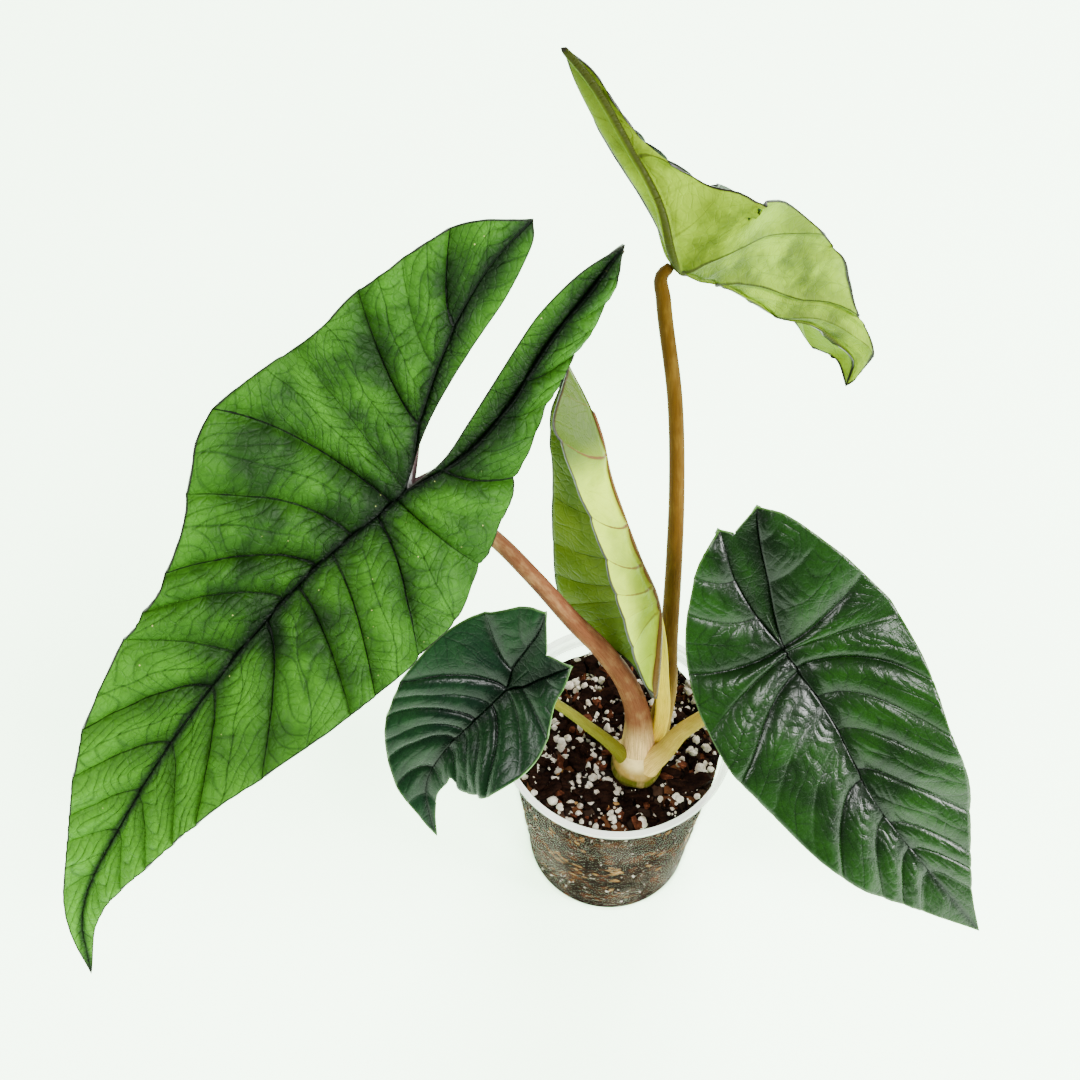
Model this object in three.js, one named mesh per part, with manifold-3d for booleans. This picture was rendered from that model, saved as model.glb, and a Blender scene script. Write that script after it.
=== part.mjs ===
import * as THREE from "three";
import { mergeVertices } from "three/addons/utils/BufferGeometryUtils.js";
import Module from "manifold-3d";

const wasm = await Module();
wasm.setup();

// Frame: millimetres, +Z up, origin at the middle of the pot's flat base.

// Pot
const RIM_RADIUS = 52;
const POT_HEIGHT = 116;
const BASE_RADIUS = 40;
const WALL = 1.1;
const FLOOR = 1.4;
const RIM_LIP = 3;
const RIM_DEPTH = 7;
const DRAIN_SLOTS = 8;
const POT_SIDES = 40;

// Potting mix
const SOIL_TOP = 104;
const FIT = 0.35;
const SOIL_RINGS = 6;
const SOIL_SIDES = 32;
const GRAINS = 30;
const BARK_BITS = 12;

// Short trunk that carries the petioles
const STEM_X = 9;
const STEM_Y = -13;
const STEM_RADIUS = 10.5;
const STEM_BOTTOM = 68;
const STEM_TOP = 122;

// Blades
const BLADE_THICKNESS = 1.1;
const INNER_ROWS = 2;
const TUBE_SIDES = 10;

// Each blade: the spine runs from behind the lobes over the joint to the tip, `toward` gives the way
// that the upper side faces at each spine point, `fold` the angle in degrees by which each half rises
// from the midrib and `curl` what it gains out to the margin. `left` and `right` are the margins, from
// lobe tip to leaf tip, as flat places along and across. Each main vein of `veinsLeft` and
// `veinsRight` tells where it leaves the rib (-1 lobe tip, 0 joint, 1 leaf tip), at which counted
// place of the margin it ends and how deep it lies, and `sweep` how much it bends to the tip on its
// way. `fused` lobes are grown together along their straight inner margins, as far as these lie on
// the middle line. `grid` holds the columns of a panel between two veins and the rows from rib to
// margin.
const BLADES = {
  big: {
    grid: [3, 5],
    spine: [[-17, 100, 318], [-84, 27, 257], [-117, -1, 247], [-154, -38, 225], [-190, -74, 186],
      [-212, -99, 145], [-212, -112, 122]],
    joint: 1,
    toward: [[0.15, -0.52, 0.84]],
    foldLeft: [10, 15, 20, 20, 20, 20, 10],
    foldRight: [-10, 5, 15, 20, 20, 10, 5],
    curlLeft: [0],
    curlRight: [-40, -60, -30, -15, 0, 0, 0],
    reach: 70,
    left: [[-110, 19], [-92, 43], [-55, 60], [-33, 64], [-12, 67], [15, 70], [38, 69], [52, 58], [64, 48],
      [84, 39], [110, 37], [135, 32], [160, 24], [195, 12], [245, 0]],
    veinsLeft: [[-1, 0, 1], [-0.56, 1, 1], [-0.42, 1.5, 0.4], [-0.23, 2, 1], [0, 4, 0.5], [0.03, 5.9, 1],
      [0.11, 7.4, 0.9], [0.18, 8.8, 1], [0.25, 9.4, 0.8], [0.36, 9.8, 0.7], [0.42, 11.2, 1],
      [0.53, 11.9, 0.8], [0.62, 12.4, 0.7], [0.7, 12.7, 0.6], [0.79, 13.2, 0.5], [1, 14, 1]],
    right: [[-122, -15], [-104, -21], [-84, -22], [-64, -22], [-44, -25], [-12, -36], [16, -49], [45, -51],
      [68, -49], [92, -44], [118, -36], [145, -27], [168, -20], [205, -9], [245, 0]],
    veinsRight: [[-1, 0, 1], [-0.68, 1.2, 0.5], [-0.48, 2.3, 0.8], [-0.35, 3.4, 0.6], [-0.12, 4.5, 1],
      [0, 4.9, 0.2], [0.02, 5.4, 0.8], [0.06, 6.7, 1], [0.15, 7.9, 0.8], [0.22, 8.4, 0.9], [0.29, 10, 1],
      [0.42, 11.2, 0.8], [0.53, 11.8, 0.6], [0.63, 12.3, 0.6], [0.7, 12.7, 0.5], [0.8, 13.1, 0.4],
      [1, 14, 1]],
    ribLeft: [[0, 0], [-25, 14], [-55, 22], [-85, 24], [-110, 19]],
    ribRight: [[0, 0], [-25, -8], [-50, -11], [-75, -11], [-100, -14], [-122, -15]],
    innerLeft: [[0, 0], [-17, 8], [-35, 12], [-58, 13], [-82, 12], [-102, 14], [-110, 19]],
    innerRight: [[0, 0], [-18, -2.5], [-35, -1.5], [-52, -1], [-68, -1], [-84, -2], [-104, -7],
      [-122, -15]],
    sweep: 1.5,
    quilt: 3.2,
    groove: 1.4,
    wave: 1.6,
    rib: 2.6,
  },
  right: {
    grid: [3, 4],
    spine: [[43, 23, 230], [64, -3, 190], [83, -23, 171], [103, -47, 143], [129, -65, 113], [155, -80, 82]],
    joint: 1,
    toward: [[-0.16, -0.49, 0.86]],
    foldLeft: [10, 15, 20, 20, 15, 10],
    foldRight: [10, 15, 20, 20, 15, 10],
    curlLeft: [-20],
    curlRight: [-20],
    reach: 50,
    left: [[-62, -12], [-56, -20], [-42, -30], [-26, -39], [0, -46], [26, -45], [40, -43], [56, -41],
      [80, -39], [98, -33], [118, -21], [142, -8], [162, 0]],
    veinsLeft: [[-1, 0, 1], [-0.69, 1.1, 0.3], [-0.38, 2, 0.4], [0, 3.3, 1], [0.01, 4.5, 0.6],
      [0.06, 5.9, 1], [0.15, 7.2, 0.7], [0.25, 8.1, 0.6], [0.37, 9.4, 1], [0.55, 10.2, 0.7],
      [0.65, 10.5, 0.6], [0.74, 10.9, 0.5], [1, 12, 1]],
    right: [[-59, 5], [-50, 17], [-34, 27], [-18, 35], [6, 43], [30, 46], [50, 42], [66, 37], [84, 32],
      [104, 26], [128, 15], [146, 7], [162, 0]],
    veinsRight: [[-1, 0, 1], [-0.59, 1.4, 0.7], [-0.26, 2.2, 0.6], [0, 3.4, 1], [0.02, 4.2, 0.7],
      [0.07, 5.4, 1], [0.17, 6.6, 0.35], [0.28, 7.8, 0.35], [0.4, 8.5, 1], [0.52, 9.4, 0.7],
      [0.64, 9.8, 0.6], [0.73, 10.2, 0.5], [1, 12, 1]],
    ribLeft: [[0, 0], [-27, -5], [-47, -8], [-62, -12]],
    ribRight: [[0, 0], [-22, 5], [-40, 7], [-59, 5]],
    innerLeft: [[0, 0], [-19, 0], [-37, 0], [-55, 0], [-62, -12]],
    innerRight: [[0, 0], [-19, 0], [-37, 0], [-55, 0], [-59, 5]],
    fused: true,
    sweep: 1.8,
    quilt: 2,
    groove: 1,
    wave: 0.5,
    rib: 2,
  },
  small: {
    grid: [3, 4],
    spine: [[-26, -4, 195], [-47, -11, 171], [-61, -19, 158], [-74, -25, 142], [-82, -32, 123],
      [-81, -39, 111], [-78, -45, 102]],
    joint: 1,
    toward: [[0.04, -0.48, 0.88]],
    foldLeft: [10, 15, 20, 20, 20, 20, 10],
    foldRight: [10, 15, 20, 20, 20, 20, 10],
    curlLeft: [10],
    curlRight: [10],
    reach: 35,
    left: [[-39, 13], [-36, 20], [-24, 28], [-12, 34], [4, 37], [22, 36], [36, 31], [48, 24], [60, 15],
      [74, 6], [89, 0]],
    veinsLeft: [[-1, 0, 1], [-0.58, 1.3, 0.4], [-0.21, 2.3, 1], [0, 5.2, 1], [0.11, 5.7, 0.4],
      [0.22, 6.2, 1], [0.3, 6.9, 0.5], [0.37, 7.5, 1], [0.58, 8.2, 0.8], [0.75, 8.7, 0.6], [1, 10, 1]],
    right: [[-31, -10], [-26, -14], [-16, -18], [-6, -25], [4, -30], [14, -32], [28, -30], [38, -27],
      [46, -20], [49, -14], [48, -9.5], [54, -9], [66, -5.5], [89, 0]],
    veinsRight: [[-1, 0, 1], [-0.61, 1.4, 0.4], [-0.2, 3.3, 0.7], [0, 5.3, 0.5], [0.11, 6.8, 1],
      [0.22, 7.5, 0.4], [0.3, 8.1, 0.4], [0.42, 9.2, 0.7], [0.58, 11.5, 0.6], [0.75, 12.3, 0.5],
      [1, 13, 1]],
    ribLeft: [[0, 0], [-9, 5], [-18, 7], [-28, 9], [-39, 13]],
    ribRight: [[0, 0], [-7, -4], [-15, -6], [-22, -8], [-31, -10]],
    innerLeft: [[0, 0], [-9, 0], [-17, 0], [-25, 0], [-39, 13]],
    innerRight: [[0, 0], [-9, 0], [-17, 0], [-25, 0], [-31, -10]],
    fused: true,
    sweep: 1.6,
    quilt: 1.6,
    groove: 0.8,
    wave: 0.5,
    rib: 1.5,
  },
  tall: {
    grid: [3, 4],
    spine: [[-26, 152, 358], [-11, 131, 339], [6, 113, 320], [21, 99, 300], [37, 107, 284], [50, 113, 269],
      [64, 117, 254], [80, 123, 242], [93, 126, 227], [102, 126, 215], [101, 124, 202]],
    joint: 3,
    toward: [[0.85, 0.42, 0.3], [0.82, 0.47, 0.32], [0.78, 0.5, 0.35], [0.72, 0.57, 0.4],
      [0.55, 0.68, 0.47]],
    foldLeft: [70],
    foldRight: [70, 70, 70, 70, 68, 62, 50, 20, -20, -28, -20],
    curlLeft: [10],
    curlRight: [10],
    reach: 60,
    left: [[-93, 4], [-80, 10], [-62, 12], [-43, 15], [-26, 24], [-14, 37], [12, 42], [34, 41], [54, 39],
      [77, 35], [87, 25], [98, 17], [115, 13], [136, 0]],
    veinsLeft: [[-1, 0, 1], [-0.79, 1.6, 0.4], [-0.47, 3.4, 0.8], [-0.15, 4.4, 0.4], [0, 7.8, 1],
      [0.07, 9.1, 0.3], [0.15, 11.1, 1], [0.31, 11.7, 0.3], [0.46, 12.3, 0.8], [1, 13, 1]],
    right: [[-76, -7], [-68, -12], [-56, -15], [-43, -19], [-29, -25], [-16, -32], [10, -37.5], [33, -39],
      [54, -39], [76, -35], [89, -26], [101, -19], [117, -13], [136, 0]],
    veinsRight: [[-1, 0, 1], [-0.82, 1.1, 0.9], [-0.64, 1.9, 0.9], [-0.48, 2.6, 0.9], [-0.31, 3.4, 0.9],
      [-0.15, 4.3, 0.9], [0, 6.4, 1], [0.09, 8, 0.9], [0.21, 9, 0.8], [0.35, 10.5, 0.8], [0.51, 11.6, 0.7],
      [1, 13, 1]],
    ribLeft: [[0, 0], [-24, 6], [-48, 8], [-72, 8], [-93, 4]],
    ribRight: [[0, 0], [-20, -6], [-38, -8], [-57, -9], [-76, -7]],
    innerLeft: [[0, 0], [-28, 1.2], [-56, 1.2], [-78, 1.5], [-93, 4]],
    innerRight: [[0, 0], [-22, -1.2], [-44, -1.2], [-62, -2], [-76, -7]],
    sweep: 2.2,
    quilt: 1.5,
    groove: 0.6,
    wave: 1,
    rib: 2,
  },
  young: {
    grid: [3, 4],
    spine: [[13, -5, 156], [14, 7, 174], [12, 18, 193], [5, 27, 208], [-1, 36, 222], [-8, 48, 241],
      [-10, 53, 251], [-17, 65, 267], [-24, 73, 277]],
    joint: 2,
    toward: [[-0.93, -0.3, -0.2]],
    foldLeft: [62],
    foldRight: [72],
    curlLeft: [-20],
    curlRight: [-10],
    reach: 30,
    left: [[-44, 3], [-33, 10], [-20, 16], [-4, 20], [14, 19], [28, 17], [45, 17], [62, 19], [78, 22],
      [92, 20], [107, 0]],
    veinsLeft: [[-1, 0, 1], [-0.49, 1.6, 0.3], [-0.1, 2.4, 0.6], [0, 3.4, 0.3], [0.06, 4.1, 0.8],
      [0.16, 5.1, 0.9], [0.33, 6.2, 1], [0.63, 8.3, 1], [0.82, 9.5, 0.4], [1, 10, 1]],
    right: [[-42, -5], [-33, -11], [-22, -25], [-6, -38], [12, -40], [28, -35], [46, -29], [62, -23],
      [76, -22], [92, -16], [107, 0]],
    veinsRight: [[-1, 0, 1], [-0.53, 1.4, 0.4], [-0.21, 2.5, 0.5], [0, 3.5, 0.4], [0.07, 4.5, 0.6],
      [0.18, 5.3, 0.6], [0.35, 6.4, 0.6], [0.62, 8.4, 0.6], [0.81, 9.3, 0.4], [1, 10, 1]],
    ribLeft: [[0, 0], [-15, 3], [-30, 4], [-44, 3]],
    ribRight: [[0, 0], [-13, -4], [-28, -6], [-42, -5]],
    innerLeft: [[0, 0], [-15, 1], [-30, 1.2], [-44, 3]],
    innerRight: [[0, 0], [-13, -1], [-28, -2], [-42, -5]],
    sweep: 1.8,
    quilt: 0.9,
    groove: 0.5,
    wave: 0.5,
    rib: 2.4,
  },
};

// Petioles: centre line from the trunk to the blade, the radius at both ends, and how much wider the
// sheathing base is
const PETIOLES = {
  big: { line: [[9, -14, 112], [9, -7, 125], [8, -3, 136], [3, 2, 152], [-7, 7, 170], [-20, 11, 188],
    [-36, 18, 210], [-53, 25, 230], [-70, 29, 245], [-83, 27, 256]], base: 5.6, top: 3.2, flare: 3.2 },
  tall: { line: [[15, -8, 112], [19, 0, 129], [21, 7, 141], [21, 16, 155], [22, 38, 189], [22, 55, 217],
    [20, 75, 250], [14, 97, 286], [13, 100, 296], [16, 100, 300], [21, 99, 300]], base: 4.4, top: 3,
    flare: 1.6 },
  right: { line: [[11, -17, 112], [20, -15, 124], [26, -12, 134], [36, -10, 146], [48, -8, 163],
    [57, -5, 180], [64, -3, 190]], base: 4.8, top: 2.6, flare: 2.2 },
  young: { line: [[13, -10, 112], [18, -5, 126], [19, -2, 136], [18, 4, 152], [16, 11, 173], [12, 18, 192]],
    base: 3.6, top: 2.8, flare: 1.8 },
  small: { line: [[5, -15, 112], [0, -14, 122], [-6, -13, 131], [-13, -12, 140], [-22, -11, 152],
    [-34, -10, 164], [-47, -11, 171]], base: 3.2, top: 2, flare: 1.2 },
};

// Curve through values at rising keys, straight on beyond both ends
function through(keys, values, q) {
  const last = keys.length - 1;
  if (last === 0) return values[0];
  let i = 0;
  while (i < last - 1 && q > keys[i + 1]) i += 1;
  const slope = (k) => (values[k + 1] - values[k]) / (keys[k + 1] - keys[k]);
  const tangent = (k) => {
    if (k === 0) return slope(0);
    if (k === last) return slope(last - 1);
    const before = keys[k] - keys[k - 1];
    const after = keys[k + 1] - keys[k];
    return (slope(k - 1) * after + slope(k) * before) / (before + after);
  };
  const h = keys[i + 1] - keys[i];
  const t = (q - keys[i]) / h;
  const c = Math.min(Math.max(t, 0), 1);
  const c2 = c * c;
  const c3 = c2 * c;
  const value = values[i] * (2 * c3 - 3 * c2 + 1) + tangent(i) * h * (c3 - 2 * c2 + c)
    + values[i + 1] * (3 * c2 - 2 * c3) + tangent(i + 1) * h * (c3 - c2);
  return value + (t - c) * h * (t > 1 ? tangent(i + 1) : tangent(i));
}

// List stretched to the number of spine points by repeating its last entry
function spread(list, count) {
  return Array.from({ length: count }, (_, i) => list[Math.min(i, list.length - 1)]);
}

// Posture of one blade: flat place (along, across) to space
function posture(leaf) {
  const points = leaf.spine.map((p) => new THREE.Vector3(...p));
  const lengths = [0];
  for (let i = 1; i < points.length; i += 1) {
    lengths.push(lengths[i - 1] + points[i].distanceTo(points[i - 1]));
  }
  const keys = lengths.map((d) => d - lengths[leaf.joint]);
  const n = points.length;
  const faces = spread(leaf.toward, n);
  const column = (list, axis) => list.map((p) => p[axis]);
  const spineAt = (a) => new THREE.Vector3(
    through(keys, column(leaf.spine, 0), a),
    through(keys, column(leaf.spine, 1), a),
    through(keys, column(leaf.spine, 2), a));
  const table = {
    left: [spread(leaf.foldLeft, n), spread(leaf.curlLeft, n)],
    right: [spread(leaf.foldRight, n), spread(leaf.curlRight, n)],
  };
  return (a, b, half) => {
    const base = spineAt(a);
    const along = spineAt(a + 0.5).sub(spineAt(a - 0.5)).normalize();
    const face = new THREE.Vector3(
      through(keys, column(faces, 0), a),
      through(keys, column(faces, 1), a),
      through(keys, column(faces, 2), a));
    const across = new THREE.Vector3().crossVectors(along, face).normalize();
    const up = new THREE.Vector3().crossVectors(across, along);
    const fold = through(keys, table[half][0], a);
    const curl = through(keys, table[half][1], a);
    const steps = 16;
    const w = Math.abs(b);
    let out = 0;
    let rise = 0;
    for (let i = 0; i < steps; i += 1) {
      const q = (w * (i + 0.5)) / steps;
      const near = Math.min(q / 6, 1);
      const angle = THREE.MathUtils.degToRad(fold * near * near * (3 - 2 * near) + (curl * q) / leaf.reach);
      out += (Math.cos(angle) * w) / steps;
      rise += (Math.sin(angle) * w) / steps;
    }
    return base.addScaledVector(across, Math.sign(b) * out).addScaledVector(up, rise);
  };
}

// Place on a curve given by evenly counted points, f from 0 to 1
function onCurve(points, f) {
  const keys = points.map((_, i) => i / (points.length - 1));
  return [through(keys, points.map((p) => p[0]), f), through(keys, points.map((p) => p[1]), f)];
}

function onLine(points, f) {
  const i = Math.min(Math.floor(f * (points.length - 1)), points.length - 2);
  const t = f * (points.length - 1) - i;
  return [0, 1].map((axis) => points[i][axis] + (points[i + 1][axis] - points[i][axis]) * t);
}

// Columns of one half: place on the rib and on the margin, and how deep the surface dips there
function stations(veins, perPanel) {
  const list = [];
  for (let k = 0; k < veins.length - 1; k += 1) {
    const [from, to] = [veins[k], veins[k + 1]];
    for (let i = 0; i < perPanel; i += 1) {
      const f = i / perPanel;
      list.push({
        s: from[0] + (to[0] - from[0]) * f,
        m: from[1] + (to[1] - from[1]) * f,
        dip: (1 - Math.sin(Math.PI * f)) * (f < 0.5 ? from[2] : to[2]),
      });
    }
  }
  const [s, m, dip] = veins[veins.length - 1];
  list.push({ s, m, dip });
  return list;
}

// Relief above the mid surface: grooves along the main veins, swollen panels between them
function relief(leaf, dip, s, v) {
  const body = Math.pow(Math.sin(Math.PI * Math.min(v * 0.82 + 0.1, 1)), 0.7);
  const ends = Math.min(1, (1 - Math.abs(s)) * 5);
  const margin = leaf.wave * (1 - 2 * dip) * v * v * v;
  return ends * (leaf.quilt * (1 - dip) * body - leaf.groove * dip * (1 - v * 0.7) + margin);
}

// Blade as one closed shell; both faces carry the same triangles
function blade(leaf, thickness) {
  const place = posture(leaf);
  const [perPanel, rowCount] = leaf.grid;
  const length = leaf.left[leaf.left.length - 1][0];
  const columns = { left: stations(leaf.veinsLeft, perPanel), right: stations(leaf.veinsRight, perPanel) };
  const joints = {
    left: columns.left.findIndex((column) => column.s >= 0),
    right: columns.right.findIndex((column) => column.s >= 0),
  };
  const flat = [];
  const index = new Map();
  const faces = [];
  const vertex = (a, b, half, lift, drop) => {
    const key = `${a.toFixed(3)},${b.toFixed(3)}`;
    if (!index.has(key)) {
      index.set(key, flat.length);
      flat.push({ a, b, half, lift, drop });
    }
    return index.get(key);
  };
  for (const half of ["left", "right"]) {
    const other = half === "left" ? "right" : "left";
    const rib = half === "left" ? leaf.ribLeft : leaf.ribRight;
    const inner = half === "left" ? leaf.innerLeft : leaf.innerRight;
    const edge = leaf[half];
    const counted = edge.map((_, i) => i);
    const along = edge.map((p) => p[0]);
    const across = edge.map((p) => p[1]);
    const own = columns[half];
    const joint = joints[half];
    const last = own.length - 1;
    const sign = Math.sign(edge[1][1]);
    const quad = (p, q, r, t) => {
      const order = sign > 0 ? [p, t, r, q] : [p, q, r, t];
      for (const tri of [[order[0], order[1], order[2]], [order[0], order[2], order[3]]]) {
        if (new Set(tri).size === 3) faces.push(tri);
      }
    };
    const grid = [];
    for (let i = 0; i <= last; i += 1) {
      const { s, m, dip } = own[i];
      const end = [through(counted, along, m), through(counted, across, m)];
      const shared = i > joint ? (s + columns[other][joints[other] + i - joint].s) / 2 : 0;
      const tips = i === 0 || i === last;
      const line = [];
      for (let j = 0; j <= rowCount; j += 1) {
        const v = j / rowCount;
        const root = j === 0 ? shared : s;
        const start = i >= joint ? [root * length, 0] : onCurve(rib, -s);
        const drop = j === 0 && !tips ? leaf.rib * (1 - 0.8 * Math.abs(s)) : 0;
        const lift = j === 0 ? -leaf.groove : relief(leaf, dip, s, v);
        const a = start[0] + (end[0] - start[0]) * Math.pow(v, leaf.sweep);
        const b = start[1] + (end[1] - start[1]) * v;
        line.push(tips ? vertex(end[0], end[1], half, 0, 0) : vertex(a, b, half, lift, drop));
      }
      grid.push(line);
    }
    for (let i = 0; i < last; i += 1) {
      for (let j = 0; j < rowCount; j += 1) {
        quad(grid[i][j], grid[i + 1][j], grid[i + 1][j + 1], grid[i][j + 1]);
      }
    }
    const inside = [];
    for (let i = 0; i <= joint; i += 1) {
      const start = onCurve(rib, -own[i].s);
      const both = (own[i].s + columns[other][joints[other] + i - joint]?.s) / 2;
      const end = leaf.fused ? onLine(inner, -both) : onCurve(inner, -own[i].s);
      const line = [grid[i][0]];
      for (let j = 1; j <= INNER_ROWS; j += 1) {
        const v = j / INNER_ROWS;
        const a = start[0] + (end[0] - start[0]) * v;
        const b = start[1] + (end[1] - start[1]) * v;
        const same = i === 0 || i === joint;
        line.push(same ? grid[i][0] : vertex(a, b, half, -leaf.groove * (1 - v) * (1 - v), 0));
      }
      inside.push(line);
    }
    for (let i = 0; i < joint; i += 1) {
      for (let j = 0; j < INNER_ROWS; j += 1) {
        quad(inside[i + 1][j], inside[i][j], inside[i][j + 1], inside[i + 1][j + 1]);
      }
    }
  }
  const middle = flat.map((f) => place(f.a, f.b, f.half));
  const normals = middle.map(() => new THREE.Vector3());
  for (const [p, q, r] of faces) {
    const edge = new THREE.Vector3().subVectors(middle[q], middle[p]);
    const other = new THREE.Vector3().subVectors(middle[r], middle[p]);
    const normal = edge.cross(other);
    for (const k of [p, q, r]) normals[k].add(normal);
  }
  normals.forEach((normal) => normal.normalize());
  const positions = [];
  const push = (p) => positions.push(p.x, p.y, p.z);
  flat.forEach((f, k) => push(middle[k].clone().addScaledVector(normals[k], f.lift + thickness / 2)));
  flat.forEach((f, k) => {
    push(middle[k].clone().addScaledVector(normals[k], f.lift - thickness / 2 - f.drop));
  });
  const count = flat.length;
  const triangles = [];
  const edges = new Map();
  for (const [p, q, r] of faces) {
    triangles.push(p, q, r, p + count, r + count, q + count);
    for (const [m, n] of [[p, q], [q, r], [r, p]]) edges.set(`${m},${n}`, [m, n]);
  }
  for (const [m, n] of edges.values()) {
    if (!edges.has(`${n},${m}`)) triangles.push(n, m, m + count, n, m + count, n + count);
  }
  const geometry = new THREE.BufferGeometry();
  geometry.setAttribute("position", new THREE.Float32BufferAttribute(positions, 3));
  geometry.setIndex(triangles);
  return geometry;
}

// Round tube along a centre line, wider at its base
function petiole(stalk, extra) {
  const curve = new THREE.CatmullRomCurve3(stalk.line.map((p) => new THREE.Vector3(...p)));
  const ring = Array.from({ length: TUBE_SIDES }, (_, i) => {
    const turn = (2 * Math.PI * i) / TUBE_SIDES;
    return new THREE.Vector2(Math.cos(turn), Math.sin(turn));
  });
  const steps = stalk.line.length * 2;
  const geometry = new THREE.ExtrudeGeometry(new THREE.Shape(ring), {
    steps, bevelEnabled: false, extrudePath: curve,
  });
  const position = geometry.getAttribute("position");
  const point = new THREE.Vector3();
  const centres = curve.getSpacedPoints(steps);
  for (let i = 0; i < position.count; i += 1) {
    point.fromBufferAttribute(position, i);
    let best = 0;
    centres.forEach((c, k) => {
      if (c.distanceToSquared(point) < centres[best].distanceToSquared(point)) best = k;
    });
    const f = best / steps;
    const taper = (stalk.base - stalk.top) * Math.pow(1 - f, 2.2) + stalk.flare * Math.pow(1 - f, 14);
    const radius = extra + stalk.top + taper;
    const out = point.clone().sub(centres[best]).normalize();
    point.copy(centres[best]).addScaledVector(out, radius);
    position.setXYZ(i, point.x, point.y, point.z);
  }
  return geometry;
}

function toSolid(geometry) {
  const plain = geometry.clone();
  plain.deleteAttribute("normal");
  plain.deleteAttribute("uv");
  const merged = mergeVertices(plain, 1e-4);
  return new wasm.Manifold(new wasm.Mesh({
    numProp: 3,
    vertProperties: new Float32Array(merged.getAttribute("position").array),
    triVerts: new Uint32Array(merged.getIndex().array),
  }));
}

function toGeometry(solid) {
  const mesh = solid.getMesh();
  const geometry = new THREE.BufferGeometry();
  geometry.setAttribute("position", new THREE.BufferAttribute(new Float32Array(mesh.vertProperties), 3));
  geometry.setIndex(new THREE.BufferAttribute(new Uint32Array(mesh.triVerts), 1));
  geometry.computeVertexNormals();
  return geometry;
}

// The largest body of a cut
function largest(solid) {
  return solid.decompose().reduce((best, next) => (next.volume() > best.volume() ? next : best));
}

function lathe(profile, sides) {
  const geometry = new THREE.LatheGeometry(profile.map(([r, z]) => new THREE.Vector2(r, z)), sides);
  geometry.rotateX(Math.PI / 2);
  return geometry;
}

// Seeded draws so that every run gives the same grains
function draws(seed) {
  let state = seed;
  return () => {
    state = (state * 16807) % 2147483647;
    return state / 2147483647;
  };
}

// Inner radius of the pot wall at a height
function wallInside(z) {
  return BASE_RADIUS - WALL + ((RIM_RADIUS - RIM_LIP - BASE_RADIUS) * z) / (POT_HEIGHT - RIM_DEPTH);
}

function pot() {
  const step = POT_HEIGHT - RIM_DEPTH;
  const outer = RIM_RADIUS - RIM_LIP;
  const profile = [
    [0, 0], [BASE_RADIUS - 1.2, 0], [BASE_RADIUS, 1.2], [outer, step], [outer + 1.2, step + 0.8],
    [outer + 1.4, POT_HEIGHT - 2.2], [RIM_RADIUS, POT_HEIGHT - 1.6], [RIM_RADIUS, POT_HEIGHT],
    [outer + 0.2, POT_HEIGHT], [outer, step + 1.6], [outer - WALL, step],
    [wallInside(FLOOR), FLOOR], [0, FLOOR],
  ];
  let body = toSolid(lathe(profile, POT_SIDES));
  for (let i = 0; i < DRAIN_SLOTS; i += 1) {
    const turn = (2 * Math.PI * (i + 0.5)) / DRAIN_SLOTS;
    const slot = new THREE.BoxGeometry(12, 5, 6);
    slot.translate(BASE_RADIUS, 0, 1.6);
    slot.rotateZ(turn);
    body = body.subtract(toSolid(slot));
  }
  return body;
}

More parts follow.
